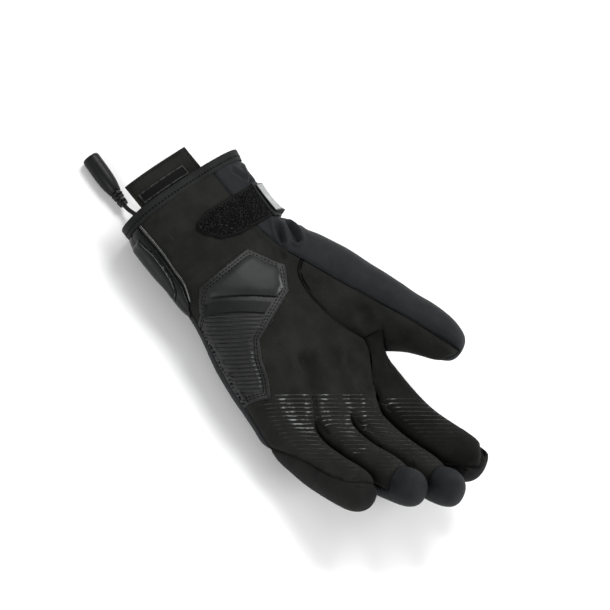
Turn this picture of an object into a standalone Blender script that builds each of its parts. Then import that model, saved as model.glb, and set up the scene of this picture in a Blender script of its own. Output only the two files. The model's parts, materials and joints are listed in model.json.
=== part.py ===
"""A left-hand heated winter glove, lying on its back with the palm up.

X runs across the hand from the thumb to the little finger, Y along the hand towards
the fingertips, and Z up out of the palm. Lengths are in metres. The hand is shaped on
a cage of rings, which is smoothed once, cut along its seams and given a wall. At the
end everything is moved so that the glove stands on the origin.
"""
import math

import bmesh
import bpy
from mathutils import Matrix, Vector
from mathutils.bvhtree import BVHTree

# The hand
HAND_LENGTH = 0.1825      # cuff mouth to the root of the middle finger
HALF_WIDTH = 0.060        # half of the palm at its widest
DEPTH = 0.050             # back of the hand to the top of the palm
MOUTH_Y = -0.0095
FINGER_LENGTH = 0.086     # middle finger, root to tip
FINGER_WIDTH = 0.0240
FINGER_DEPTH = 0.0275
THUMB_LENGTH = 0.046      # crotch to tip
THUMB_RADIUS = 0.0168
WALL = 0.0025             # padded cloth
SEAM_GAP = 0.0004         # between two panels
PIECE_GAP = 0.0003        # between a sewn-on piece and the cloth under it
WEB_BACK = 0.0020         # how far the webs lie behind the roots of the fingers

# Pieces on the cuff
BINDING_HEIGHT = 0.0065
BINDING_TAPE = 0.0008
STRAP_WIDTH = 0.0250
STRAP_THICKNESS = 0.0018
STRAP_FACE_THICKNESS = 0.0006
LOOP_THICKNESS = 0.0012
STRAP_HEM = 0.0020        # the strap's edge beside its pale face
STRAP_Y = 0.0270          # middle of the strap and of its loop patch
SHIELD_THICKNESS = 0.0012
LEAF_THICKNESS = 0.0010
PIPING_RADIUS = 0.0009
FLAP_WIDTH = 0.0490
FLAP_THICKNESS = 0.0018
FLAP_OUT = 0.0185         # how far it stands out of the mouth
FLAP_IN = 0.0200          # how far it reaches in
FLAP_ACROSS = 0.200       # its middle, in shares of HALF_WIDTH
LABEL_ACROSS = 0.265      # its middle, in shares of HALF_WIDTH
LABEL_Y = -0.0152
LABEL_LENGTH = 0.0355
LABEL_HEIGHT = 0.0066
LABEL_THICKNESS = 0.0010

# Pieces on the palm
PATCH_THICKNESS = 0.0008
PAD_THICKNESS = 0.0018
BAND_THICKNESS = 0.0006

# The power lead
CORD_DIAMETER = 0.0028
PLUG_LENGTH = 0.0377
PLUG_RADIUS = 0.0057
PLUG_BORE_RADIUS = 0.0019
PLUG_BORE_DEPTH = 0.0100
PLUG_TURN = 4.0           # degrees its mouth swings back towards the thumb
PLUG_SIDES = 16
GLAND_RADIUS = 0.0030
GLAND_LENGTH = 0.0080
GLAND_TAPER = 0.8         # its radius at the cuff's end, of GLAND_RADIUS
GLAND_SIDES = 12

# Sections of the cuff and the palm, in shares: along of HAND_LENGTH from the mouth, the
# two sides of HALF_WIDTH, back and palm of DEPTH
SECTIONS = [
    # along  thumb_side little_side back  palm
    (0.000, -0.800, 0.785, 0.11, 1.020),
    (0.125, -0.700, 0.780, 0.11, 1.000),
    (0.255, -0.640, 0.775, 0.10, 0.945),
    (0.370, -0.850, 0.785, 0.06, 0.950),
    (0.468, -0.870, 0.840, 0.02, 0.975),
    (0.585, -0.760, 0.940, -0.02, 0.975),
    (0.705, -0.720, 0.985, -0.02, 0.930),
    (0.808, -0.690, 1.000, -0.02, 0.885),
    (0.885, -0.725, 1.030, 0.00, 0.840),
    (1.000, -0.770, 1.065, 0.04, 0.770),
]
CROTCH = 7                # the section where the thumb parts from the hand

# Where three columns of the cage run, in shares of HALF_WIDTH: the seam of the soft
# shell, the valley beside the thumb and the seam of the ball of the thumb. Their lead is
# a share of HAND_LENGTH that the column runs ahead of its section
SEAM_COLUMNS = [
    # shell  valley ball    shell_lead valley_lead ball_lead
    (-0.233, -0.125, -0.017, 0.000, 0.000, 0.000),
    (-0.240, -0.133, -0.025, 0.000, 0.000, 0.000),
    (-0.250, -0.145, -0.040, 0.000, 0.000, 0.000),
    (-0.292, -0.192, -0.100, 0.000, 0.000, 0.008),
    (-0.383, -0.330, -0.272, -0.033, 0.000, 0.036),
    (-0.517, -0.367, -0.196, -0.010, 0.000, 0.013),
    (-0.680, -0.450, -0.213, 0.000, 0.010, -0.010),
    (-0.810, -0.660, -0.500, 0.000, 0.000, -0.006),
]

# The lobe of the thumb beside the palm: its middle in shares of HALF_WIDTH and DEPTH,
# its radius in shares of THUMB_RADIUS, and how fully it takes over from the section. Then
# the degree its round ends at, and where the back starts, in shares of the half width
THUMB_LOBES = {
    # section: across height radius share last_turn back_reach
    3: (-0.580, 0.57, 1.24, 0.5, 282, 0.88),
    4: (-0.665, 0.68, 1.20, 1.0, 282, 0.86),
    5: (-0.760, 0.80, 1.14, 1.0, 290, 0.92),
    6: (-0.865, 0.91, 1.05, 1.0, 300, 0.97),
    7: (-0.955, 0.98, 1.00, 1.0, 312, 0.97),
}
NO_LOBE = (0.0, 0.0, 0.0, 0.0, 312, 0.97)
THUMB_LEAN = (-0.205, 0.945, 0.255)
CROTCH_WEB = Vector((-0.002, 0.003, 0.0))
THUMB_RINGS = [
    # along radius
    (0.33, 0.95),
    (0.66, 0.85),
    (0.91, 0.56),
]
THUMB_TURNS = (31, 58, 94, 131, 167, 203, 239, 276, 312, 352)  # degrees, from the valley
THUMB_FIRST_TURN = THUMB_TURNS[1]

# The roots of the fingers, in shares of HAND_LENGTH, at the nine palm columns from the
# little finger to the index finger
ROOT_ALONG = [0.905, 0.915, 0.928, 0.955, 0.983, 0.998, 1.000, 0.990, 0.955]

# The two sections between the thumb's crotch and the roots of the fingers: how far each
# lies towards the roots, its nine columns in shares from the little finger's side, and
# how far each column runs ahead, in shares of HAND_LENGTH
ROOT_SECTIONS = [
    # share  columns  leads
    (0.42, (0.0, 0.127, 0.254, 0.370, 0.490, 0.620, 0.790, 0.885, 1.0),
     (0.0, 0.0, 0.0, 0.0, 0.0, 0.008, 0.030, -0.022, 0.0)),
    (1.00, (0.0, 0.127, 0.254, 0.369, 0.483, 0.590, 0.695, 0.848, 1.0),
     (0.0, 0.0, 0.0, 0.0, 0.0, 0.0, -0.008, 0.0, 0.0)),
]

# The fingers, from the little one: length, width and depth as shares of the middle
# finger's, swing to the side and the three bends in degrees
FINGERS = [
    # name     length width depth swing root middle end
    ("little", 0.86, 1.00, 0.95, -0.4, 6.0, 15.0, 12.0),
    ("ring", 1.00, 0.90, 0.98, -2.4, 5.0, 17.0, 14.0),
    ("middle", 1.05, 0.88, 1.00, -3.9, 4.5, 13.0, 12.0),
    ("index", 0.96, 1.16, 1.00, -5.2, 4.0, 10.0, 12.0),
]
FINGER_RINGS = [
    # along width depth
    (0.22, 1.00, 1.00),
    (0.50, 1.03, 0.98),
    (0.80, 1.05, 0.96),
    (0.970, 0.84, 0.80),
]
MIDDLE_KNUCKLE = 0.22     # where the fingers start to bend
END_KNUCKLE = 0.50
CORNER_FULLNESS = 1.10    # how far the corners of a finger stand out of its oval

SECTION_POWER = 2.5       # 2 is an ellipse, more is boxier

# What the smoothing takes off the cage, made good beforehand
WIDTH_SPARE = 1.015
DEPTH_SPARE = 1.020
FINGER_SPARE = 1.081
THUMB_SPARE = 1.050

PALM_COLUMNS = 9
THUMB_COLUMNS = 7
EDGE_SHARE = 0.88         # the outermost palm column, of the half width of its section
VALLEY_DIP = 0.05         # the valley beside the thumb, in shares of DEPTH
VALLEY_SHARE = 0.45       # its height between the ball of the thumb and the shell's seam
BALL_SHARE = 0.18         # how far the ball's column rises towards the shell's seam
CORNER_LIMIT = 0.6        # how sharp a panel's corner counts at most when it is narrowed

# Cutters for the sewn-on pieces start inside the hand, in shares of DEPTH and HALF_WIDTH,
# and take the cloth as far as a margin beyond their outline
CUTTER_UP = 0.36
CUTTER_ACROSS = 0.367
CUT_MARGIN = 0.012
FLAP_CUT_MARGIN = 0.020
FACING_LEAST = 0.05

# Outlines seen from above the palm, in shares of HALF_WIDTH across and HAND_LENGTH along
PATCH_OUTLINE = [
    # across along
    (0.670, 0.335),
    (0.010, 0.319),
    (-0.225, 0.439),
    (-0.050, 0.524),
    (0.572, 0.609),
    (0.677, 0.666),
    (0.741, 0.736),
    (0.830, 0.790),
    (1.030, 0.740),
    (1.020, 0.600),
    (0.930, 0.500),
    (0.860, 0.450),
    (0.790, 0.408),
    (0.735, 0.368),
]
PAD_OUTLINE = [
    (0.640, 0.362),
    (0.140, 0.344),
    (0.020, 0.350),
    (-0.118, 0.436),
    (-0.010, 0.506),
    (0.120, 0.519),
    (0.676, 0.386),
]
BAND_OUTLINE = [
    (0.740, 0.391),
    (0.215, 0.524),
    (0.350, 0.543),
    (0.790, 0.424),
]
LOOP_OUTLINE = [
    (0.160, 0.138),
    (0.300, 0.150),
    (0.344, 0.170),
    (0.310, 0.198),
    (0.175, 0.243),
    (-0.040, 0.264),
    (-0.900, 0.267),
    (-0.900, 0.136),
]
# Outlines seen from the little finger's side, in shares of HAND_LENGTH along and DEPTH up,
# from the line of the piping round to the back
SHIELD_EDGE = [
    # along up
    (0.080, 0.763),
    (0.132, 0.763),
    (0.183, 0.752),
    (0.244, 0.722),
    (0.291, 0.709),
    (0.348, 0.632),
]
SHIELD_BACK = [
    (0.385, 0.460),
    (0.340, 0.300),
    (0.180, 0.230),
]
LEAF_OUTLINE = [
    (0.069, 0.660),
    (0.104, 0.674),
    (0.141, 0.698),
    (0.195, 0.692),
    (0.246, 0.660),
    (0.290, 0.584),
    (0.305, 0.430),
    (0.180, 0.350),
    (0.069, 0.370),
]

# The strap's run round the thumb's side, seen along the hand, in shares of HALF_WIDTH
# across and DEPTH up
STRAP_PATH = [
    # across up
    (-1.300, -0.400),
    (-0.250, -0.400),
    (-0.250, 0.350),
    (-0.560, 0.560),
    (-0.560, 1.500),
    (-1.300, 1.500),
]
STRAP_FACE_PATH = [
    (-1.300, 0.300),
    (-0.700, 0.300),
    (-0.600, 0.560),
    (-0.600, 1.500),
    (-1.300, 1.500),
]

# The lead leaves its gland inside the cuff, passes over the hem and lies down: its route
# in shares of HALF_WIDTH across, HAND_LENGTH along from the mouth and DEPTH up
CORD_ROUTE = [
    # across along up
    (0.3833, 0.1507, 0.2640),
    (0.3850, 0.1178, 0.2640),
    (0.3867, 0.0849, 0.2620),
    (0.3900, 0.0521, 0.2620),
    (0.3917, 0.0192, 0.2600),
    (0.3933, -0.0082, 0.2460),
    (0.3933, -0.0329, 0.2080),
    (0.3917, -0.0548, 0.1620),
    (0.3900, -0.0740, 0.1280),
    (0.3867, -0.0899, 0.1160),
]

# The connector as turned, from its strain relief to its mouth, in shares of PLUG_LENGTH
# and PLUG_RADIUS
PLUG_PROFILE = [
    # along  radius
    (0.000, 0.40),
    (0.030, 0.58),
    (0.075, 0.58),
    (0.085, 0.42),
    (0.125, 0.42),
    (0.135, 0.64),
    (0.180, 0.64),
    (0.190, 0.46),
    (0.230, 0.48),
    (0.240, 0.71),
    (0.290, 0.78),
    (0.400, 0.89),
    (0.640, 1.00),
    (0.960, 1.00),
    (1.000, 0.93),
]

COLORS = {
    "knit": (0.020, 0.021, 0.020),
    "softshell": (0.022, 0.026, 0.028),
    "back": (0.020, 0.022, 0.024),
    "tips": (0.016, 0.017, 0.017),
    "tape": (0.018, 0.019, 0.019),
    "loop": (0.009, 0.009, 0.009),
    "pad": (0.043, 0.044, 0.043),
    "rubber": (0.033, 0.034, 0.033),
    "strap": (0.025, 0.027, 0.027),
    "label": (0.300, 0.310, 0.310),
    "plastic": (0.030, 0.030, 0.030),
}
ROUGHNESS = {
    "knit": 0.85,
    "softshell": 0.70,
    "back": 0.70,
    "tips": 0.75,
    "tape": 0.70,
    "loop": 0.95,
    "pad": 0.60,
    "rubber": 0.35,
    "strap": 0.60,
    "label": 0.45,
    "plastic": 0.40,
}


def clear_scene():
    for old in list(bpy.data.objects):
        bpy.data.objects.remove(old, do_unlink=True)


def make_material(name, rough):
    material = bpy.data.materials.new(name)
    material.use_nodes = True
    shader = material.node_tree.nodes["Principled BSDF"]
    shader.inputs["Base Color"].default_value = (*COLORS[name], 1.0)
    shader.inputs["Roughness"].default_value = rough
    shader.inputs["Metallic"].default_value = 0.0
    return material


def add_object(name, bm, material, smooth=True):
    mesh = bpy.data.meshes.new(name)
    bm.to_mesh(mesh)
    bm.free()
    mesh.materials.clear()
    mesh.materials.append(material)
    if smooth:
        mesh.shade_smooth()
        mesh.set_sharp_from_angle(angle=math.radians(50))
    piece = bpy.data.objects.new(name, mesh)
    bpy.context.scene.collection.objects.link(piece)
    return piece


def along_y(share):
    return MOUTH_Y + share * HAND_LENGTH


def mix(a, b, t):
    return a + (b - a) * t


class Section:
    """One closed section of the hand: a boxy ellipse between its four extremes."""

    def __init__(self, row):
        along, thumb_side, little_side, back, palm = row
        self.y = along_y(along)
        self.middle = (thumb_side + little_side) / 2 * HALF_WIDTH
        self.half = (little_side - thumb_side) / 2 * HALF_WIDTH * WIDTH_SPARE
        self.centre = (back + palm) / 2 * DEPTH
        self.rise = (palm - back) / 2 * DEPTH * DEPTH_SPARE

    def height(self, x):
        share = min(abs(x - self.middle) / self.half, 1.0)
        return self.rise * (1 - share ** SECTION_POWER) ** (1 / SECTION_POWER)

    def palm_point(self, x):
        return Vector((x, self.y, self.centre + self.height(x)))

    def back_point(self, x):
        return Vector((x, self.y, self.centre - self.height(x)))

    def angle_of(self, x):
        share = max(-1.0, min(1.0, (x - self.middle) / self.half))
        cosine = math.copysign(abs(share) ** (SECTION_POWER / 2), share)
        return math.acos(cosine)

    def at_angle(self, angle):
        power = 2 / SECTION_POWER
        c = math.cos(angle)
        s = math.sin(angle)
        x = self.middle + self.half * math.copysign(abs(c) ** power, c)
        z = self.centre + self.rise * math.copysign(abs(s) ** power, s)
        return Vector((x, self.y, z))


def palm_ring(number):
    """The 26 points of a section of the cuff or palm, and where each one is named."""
    section = Section(SECTIONS[number])
    shell, valley, ball, shell_lead, valley_lead, ball_lead = SEAM_COLUMNS[number]
    first_x = section.middle + EDGE_SHARE * section.half
    ball_x = ball * HALF_WIDTH
    palm = []
    for k in range(PALM_COLUMNS - 1):
        palm.append(section.palm_point(mix(first_x, ball_x, k / (PALM_COLUMNS - 2))))
    lobe = THUMB_LOBES.get(number, NO_LOBE)
    lobe_centre = Vector((lobe[0] * HALF_WIDTH, section.y, lobe[1] * DEPTH))
    radius = lobe[2] * THUMB_RADIUS
    start = section.angle_of(shell * HALF_WIDTH)
    back_x = mix(shell * HALF_WIDTH, section.middle - lobe[5] * section.half, lobe[3])
    end = 2 * math.pi - section.angle_of(back_x)
    thumb = []
    for k in range(THUMB_COLUMNS):
        t = k / THUMB_COLUMNS
        on_section = section.at_angle(mix(start, end, t))
        turn = math.radians(mix(THUMB_FIRST_TURN, lobe[4], t))
        on_lobe = lobe_centre + radius * Vector((math.cos(turn), 0, math.sin(turn)))
        thumb.append(on_section.lerp(on_lobe, lobe[3]))
    if lobe[3] == 0:
        thumb[0] = section.palm_point(shell * HALF_WIDTH)
    else:
        thumb[0].x = shell * HALF_WIDTH
    thumb[0].y += shell_lead * HAND_LENGTH
    inner = palm[-2].z
    palm[-1].z = mix(inner, thumb[0].z, BALL_SHARE)
    palm[-1].y += ball_lead * HAND_LENGTH
    dip = VALLEY_DIP * DEPTH * lobe[3]
    valley_z = mix(palm[-1].z, thumb[0].z, VALLEY_SHARE) - dip
    palm.append(Vector((valley * HALF_WIDTH, section.y + valley_lead * HAND_LENGTH, valley_z)))
    back = []
    for k in range(PALM_COLUMNS):
        back.append(section.back_point(mix(back_x, first_x, k / (PALM_COLUMNS - 1))))
    side = section.at_angle(0)
    return palm, thumb, back, side


def finger_root_ring(number, row):
    """The 20 points of a section between the thumb's crotch and the roots of the fingers."""
    section = Section(SECTIONS[number])
    root_share, columns, leads = row
    crotch_y = along_y(SECTIONS[CROTCH][0])
    first_x = section.middle + EDGE_SHARE * section.half
    last_x = section.middle - EDGE_SHARE * section.half
    palm = []
    back = []
    for column, lead, root in zip(columns, leads, ROOT_ALONG):
        x = mix(first_x, last_x, column)
        y = mix(crotch_y, along_y(root), root_share)
        palm.append(section.palm_point(x))
        palm[-1].y = y + lead * HAND_LENGTH
        back.insert(0, section.back_point(x))
        back[0].y = y
    thumb_side = section.at_angle(math.pi)
    thumb_side.y = palm[-1].y
    little_side = section.at_angle(0)
    little_side.y = palm[0].y
    return palm, thumb_side, back, little_side


def add_ring(bm, points):
    return [bm.verts.new(point) for point in points]


def bridge(bm, ring_a, ring_b, labels, closed=True):
    """Quads between two rings of equal length, each given its panel's label."""
    count = len(ring_a) if closed else len(ring_a) - 1
    for k in range(count):
        n = (k + 1) % len(ring_a)
        face = bm.faces.new((ring_a[k], ring_b[k], ring_b[n], ring_a[n]))
        face.material_index = labels[k]


def close_tip(bm, ring, tip, label_of):
    """A rounded end of quads that meet at one vertex; label_of names a quad's panel."""
    centre = bm.verts.new(tip)
    for k in range(0, len(ring), 2):
        corner = ring[(k + 1) % len(ring)]
        last = ring[(k + 2) % len(ring)]
        face = bm.faces.new((ring[k], centre, last, corner))
        face.material_index = label_of(k)


PANELS = [
    ("palm_panel", "knit"),
    ("back_panel", "back"),
    ("thumb_palm", "knit"),
    ("thumb_back", "softshell"),
    ("index_palm", "knit"),
    ("little_finger_back", "tips"),
    ("ring_finger_back", "softshell"),
    ("middle_finger_back", "softshell"),
    ("index_finger_back", "tips"),
]
PALM, BACK, THUMB_PALM, THUMB_BACK, INDEX_PALM = range(5)
FIRST_FINGER_BACK = 5


def cuff_labels(row):
    """The panel of each of the 26 quads between section row and the next."""
    labels = [PALM] * (PALM_COLUMNS - 1)
    valley = PALM
    if row >= CROTCH - 3:
        valley = THUMB_PALM
        labels[-1] = THUMB_PALM
    labels.append(valley)
    labels += [THUMB_BACK] * THUMB_COLUMNS
    return labels + [BACK] * PALM_COLUMNS + [PALM]


def root_labels(row):
    """The panel of each of the 20 quads beyond the crotch."""
    labels = [PALM] * (PALM_COLUMNS - 2) + [INDEX_PALM]
    thumb_side = [INDEX_PALM, INDEX_PALM]
    if row == 1:
        labels[-2] = INDEX_PALM
        thumb_side = [INDEX_PALM, BACK]
    return labels + thumb_side + [BACK] * (PALM_COLUMNS - 1) + [BACK, PALM]


def slant(bm, first, second, beyond, label):
    """Splits a quad between two corners and gives the half at beyond another panel."""
    bmesh.ops.connect_vert_pair(bm, verts=[first, second])
    for face in beyond.link_faces:
        if first in face.verts and second in face.verts:
            face.material_index = label


def finger_points(start, row):
    """The rings of one finger from its root's middle, and its tip."""
    name, length, width, depth, swing, root, middle, end = row
    length *= FINGER_LENGTH
    swing = math.radians(swing)
    level = Vector((math.sin(swing), math.cos(swing), 0))
    across = Vector((math.cos(swing), -math.sin(swing), 0))
    marks = [r[0] for r in FINGER_RINGS] + [1.0]
    rings = []
    at = start.copy()
    done = 0.0
    for number, mark in enumerate(marks):
        bend = root
        if done >= MIDDLE_KNUCKLE:
            bend += middle
        if done >= END_KNUCKLE:
            bend += end
        pitch = math.radians(bend)
        step = level * math.cos(pitch) + Vector((0, 0, math.sin(pitch)))
        at = at + step * (mark - done) * length
        done = mark
        if number == len(FINGER_RINGS):
            return rings, at
        up = across.cross(step)
        half_width = FINGER_WIDTH / 2 * width * FINGER_RINGS[number][1] * FINGER_SPARE
        half_depth = FINGER_DEPTH / 2 * depth * FINGER_RINGS[number][2] * FINGER_SPARE
        ring = []
        for k in range(8):
            turn = math.radians(45 * (k + 1))
            corner = CORNER_FULLNESS if k % 2 == 0 else 1.0
            offset = across * math.cos(turn) * half_width + up * math.sin(turn) * half_depth
            ring.append(at + offset * corner)
        rings.append(ring)


def add_finger(bm, number, root):
    """A finger on its root's eight vertices, which start at its palm corner."""
    centre = Vector()
    for vert in root:
        centre += vert.co / len(root)
    rings, tip = finger_points(centre, FINGERS[number])
    rear = FIRST_FINGER_BACK + number
    front = INDEX_PALM if number == len(FINGERS) - 1 else PALM
    whole = [front, front, front, rear, rear, rear, rear, front]
    narrow = whole[:-1] + [rear]
    cap = [rear] * len(whole)
    labels = {
        "little": [whole, narrow, narrow, narrow],
        "ring": [whole, whole, whole, cap],
        "middle": [whole, whole, whole, cap],
        "index": [whole, whole, whole, whole],
    }[FINGERS[number][0]]
    made = [root]
    for points, row_labels in zip(rings, labels):
        ring = add_ring(bm, points)
        bridge(bm, made[-1], ring, row_labels)
        made.append(ring)
    close_tip(bm, made[-1], tip, lambda k: front if front == INDEX_PALM and k == 0 else rear)
    first, below, last = made[1], made[-2], made[-1]
    if front == INDEX_PALM:
        slant(bm, below[7], last[0], last[7], rear)
        slant(bm, below[3], last[2], last[3], rear)
    elif number == 0:
        slant(bm, root[7], first[0], first[7], rear)
        slant(bm, below[0], last[1], last[0], rear)


def add_thumb(bm, root):
    """The free part of the thumb, on its root's ten vertices from the valley's."""
    lean = Vector(THUMB_LEAN).normalized()
    across = lean.cross(Vector((0, 0, 1))).normalized()
    up = across.cross(lean)
    lobe = THUMB_LOBES[CROTCH]
    base = Vector((lobe[0] * HALF_WIDTH, along_y(SECTIONS[CROTCH][0]), lobe[1] * DEPTH))
    labels = [THUMB_PALM] + [THUMB_BACK] * 7 + [THUMB_PALM] * 2
    before = root
    for along, radius in THUMB_RINGS:
        centre = base + lean * along * THUMB_LENGTH
        size = radius * THUMB_RADIUS * THUMB_SPARE
        points = []
        for turn in THUMB_TURNS:
            angle = math.radians(turn)
            points.append(centre + size * (across * math.cos(angle) + up * math.sin(angle)))
        ring = add_ring(bm, points)
        bridge(bm, before, ring, labels)
        before = ring
    tip = base + lean * THUMB_LENGTH
    shifted = before[1:] + before[:1]
    close_tip(bm, shifted, tip, lambda k: THUMB_BACK if k < 7 else THUMB_PALM)


def build_cage():
    bm = bmesh.new()
    rings = []
    for number in range(CROTCH + 1):
        palm, thumb, back, side = palm_ring(number)
        if number == CROTCH:
            break
        rings.append(add_ring(bm, palm + thumb + back + [side]))
    palm_verts = add_ring(bm, palm)
    thumb_verts = add_ring(bm, thumb)
    back_verts = add_ring(bm, back)
    side_vert = bm.verts.new(side)
    rings.append(palm_verts + thumb_verts + back_verts + [side_vert])
    for row in range(CROTCH):
        bridge(bm, rings[row], rings[row + 1], cuff_labels(row))

    crotch_point = (palm_verts[-1].co + back_verts[0].co) / 2
    crotch = bm.verts.new(crotch_point + CROTCH_WEB)
    add_thumb(bm, [palm_verts[-1]] + thumb_verts + [back_verts[0], crotch])

    before = palm_verts + [crotch] + back_verts + [side_vert]
    for row, root_section in enumerate(ROOT_SECTIONS):
        palm, thumb_side, back, little_side = finger_root_ring(CROTCH + 1 + row, root_section)
        ring = add_ring(bm, palm + [thumb_side] + back + [little_side])
        bridge(bm, before, ring, root_labels(row))
        before = ring

    palm_row = before[:PALM_COLUMNS]
    back_row = before[PALM_COLUMNS + 1:-1][::-1]
    webs = [before[-1]]
    for k in (2, 4, 6):
        between = (palm_row[k].co + back_row[k].co) / 2
        webs.append(bm.verts.new(between - Vector((0, WEB_BACK, 0))))
    webs.append(before[PALM_COLUMNS])
    for number in range(len(FINGERS)):
        k = number * 2
        root = [
            palm_row[k], palm_row[k + 1], palm_row[k + 2], webs[number + 1],
            back_row[k + 2], back_row[k + 1], back_row[k], webs[number],
        ]
        add_finger(bm, number, root)
    bmesh.ops.recalc_face_normals(bm, faces=bm.faces)
    return bm


def smooth_cage(bm):
    """The cage after one Catmull-Clark step, flat where it rests, as triangles."""
    mesh = bpy.data.meshes.new("cage")
    bm.to_mesh(mesh)
    bm.free()
    cage = bpy.data.objects.new("cage", mesh)
    bpy.context.scene.collection.objects.link(cage)
    smooth = cage.modifiers.new("smooth", "SUBSURF")
    smooth.levels = 1
    smooth.render_levels = 1
    smooth.use_limit_surface = False
    graph = bpy.context.evaluated_depsgraph_get()
    shell = bmesh.new()
    shell.from_mesh(cage.evaluated_get(graph).to_mesh())
    bpy.data.objects.remove(cage, do_unlink=True)
    for vert in shell.verts:
        vert.co.z = max(vert.co.z, 0.0)
    bmesh.ops.triangulate(shell, faces=shell.faces, quad_method="SHORT_EDGE")
    shell.normal_update()
    return shell


def rim_loops(faces):
    """The loops of some faces whose edge no other of the faces shares."""
    counts = {}
    for face in faces:
        for edge in face.edges:
            counts[edge] = counts.get(edge, 0) + 1
    return [loop for face in faces for loop in face.loops if counts[loop.edge] == 1]


def inward_shifts(rim, distance):
    """How far each vertex of a rim moves to narrow its faces by distance."""
    turns = {}
    for loop in rim:
        a = loop.vert
        b = loop.link_loop_next.vert
        for vert in (a, b):
            inward = vert.normal.cross(b.co - a.co).normalized()
            turns.setdefault(vert, []).append(inward)
    shifts = {}
    for vert, parts in turns.items():
        total = Vector()
        for part in parts:
            total += part
        cosine = parts[0].dot(parts[-1]) if len(parts) > 1 else 1.0
        shifts[vert] = total / len(parts) * distance * 2 / max(1 + cosine, CORNER_LIMIT)
    return shifts


def slab(faces, low, high, narrow=0.0):
    """A closed piece between two surfaces that run low and high above the faces."""
    rim = rim_loops(faces)
    shifts = inward_shifts(rim, narrow)
    bm = bmesh.new()
    under = {}
    over = {}
    for face in faces:
        for vert in face.verts:
            if vert in under:
                continue
            base = vert.co + shifts.get(vert, Vector())
            under[vert] = bm.verts.new(base + vert.normal * low)
            over[vert] = bm.verts.new(base + vert.normal * high)
    for face in faces:
        bm.faces.new([over[v] for v in face.verts])
        bm.faces.new([under[v] for v in reversed(face.verts)])
    for loop in rim:
        a = loop.vert
        b = loop.link_loop_next.vert
        bm.faces.new((over[b], over[a], under[a], under[b]))
    return bm


def prism(name, points, thickness):
    """A hidden cutter: a flat outline of points, deepened by the vector thickness."""
    bm = bmesh.new()
    face = bm.faces.new([bm.verts.new(point) for point in points])
    grown = bmesh.ops.extrude_face_region(bm, geom=[face])
    moved = [item for item in grown["geom"] if isinstance(item, bmesh.types.BMVert)]
    bmesh.ops.translate(bm, verts=moved, vec=thickness)
    bmesh.ops.recalc_face_normals(bm, faces=bm.faces)
    mesh = bpy.data.meshes.new(name)
    bm.to_mesh(mesh)
    bm.free()
    cutter = bpy.data.objects.new(name, mesh)
    bpy.context.scene.collection.objects.link(cutter)
    cutter.hide_render = True
    cutter.display_type = "WIRE"
    return cutter


def from_above(outline):
    return [Vector((x * HALF_WIDTH, along_y(y), CUTTER_UP * DEPTH)) for x, y in outline]


def from_the_side(outline):
    return [Vector((CUTTER_ACROSS * HALF_WIDTH, along_y(y), z * DEPTH)) for y, z in outline]


def facing(shell, points, direction, margin=CUT_MARGIN):
    """The shell's faces behind an outline, as far as margin beyond it."""
    lows = [min(p[i] for p in points) - margin for i in range(3)]
    highs = [max(p[i] for p in points) + margin for i in range(3)]
    axis = 2 if direction.z > 0.5 else 0
    found = []
    for face in shell.faces:
        middle = face.calc_center_median()
        inside = True
        for i in range(3):
            if i != axis and not lows[i] < middle[i] < highs[i]:
                inside = False
        if inside and face.normal.dot(direction) > FACING_LEAST:
            found.append(face)
    return found


def sewn_piece(name, faces, low, high, cutter, material):
    """A piece that follows the shell at a height between low and high, cut to its shape."""
    piece = add_object(name, slab(faces, low, high), material)
    cut = piece.modifiers.new("outline", "BOOLEAN")
    cut.operation = "INTERSECT"
    cut.solver = "EXACT"
    cut.object = cutter
    return piece


def palm_pieces(shell, materials):
    up = Vector((0, 0, 1))
    lift = PIECE_GAP
    top = lift + PATCH_THICKNESS
    rows = [
        ("palm_patch", PATCH_OUTLINE, lift, top, "pad"),
        ("palm_pad", PAD_OUTLINE, top + PIECE_GAP, top + PIECE_GAP + PAD_THICKNESS, "pad"),
        ("palm_band", BAND_OUTLINE, top + PIECE_GAP, top + PIECE_GAP + BAND_THICKNESS, "rubber"),
    ]
    for name, outline, low, high, material in rows:
        points = from_above(outline)
        cutter = prism(name + "_cutter", points, up * 2 * DEPTH)
        sewn_piece(name, facing(shell, points, up), low, high, cutter, materials[material])


def shield_pieces(shell, materials):
    side = Vector((1, 0, 0))
    top = PIECE_GAP + SHIELD_THICKNESS
    hem = (BINDING_HEIGHT + 2 * PIECE_GAP) / HAND_LENGTH
    beside = (PIPING_RADIUS + 2 * PIECE_GAP) / DEPTH
    edge = [(along, up - beside) for along, up in SHIELD_EDGE]
    shield = [(hem, edge[0][1])] + edge + SHIELD_BACK + [(hem, SHIELD_BACK[-1][1])]
    rows = [
        ("side_shield", shield, PIECE_GAP, top),
        ("side_shield_leaf", LEAF_OUTLINE, top + PIECE_GAP, top + PIECE_GAP + LEAF_THICKNESS),
    ]
    for name, outline, low, high in rows:
        points = from_the_side(outline)
        cutter = prism(name + "_cutter", points, side * HALF_WIDTH)
        sewn_piece(name, facing(shell, points, side), low, high, cutter, materials["rubber"])


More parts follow.
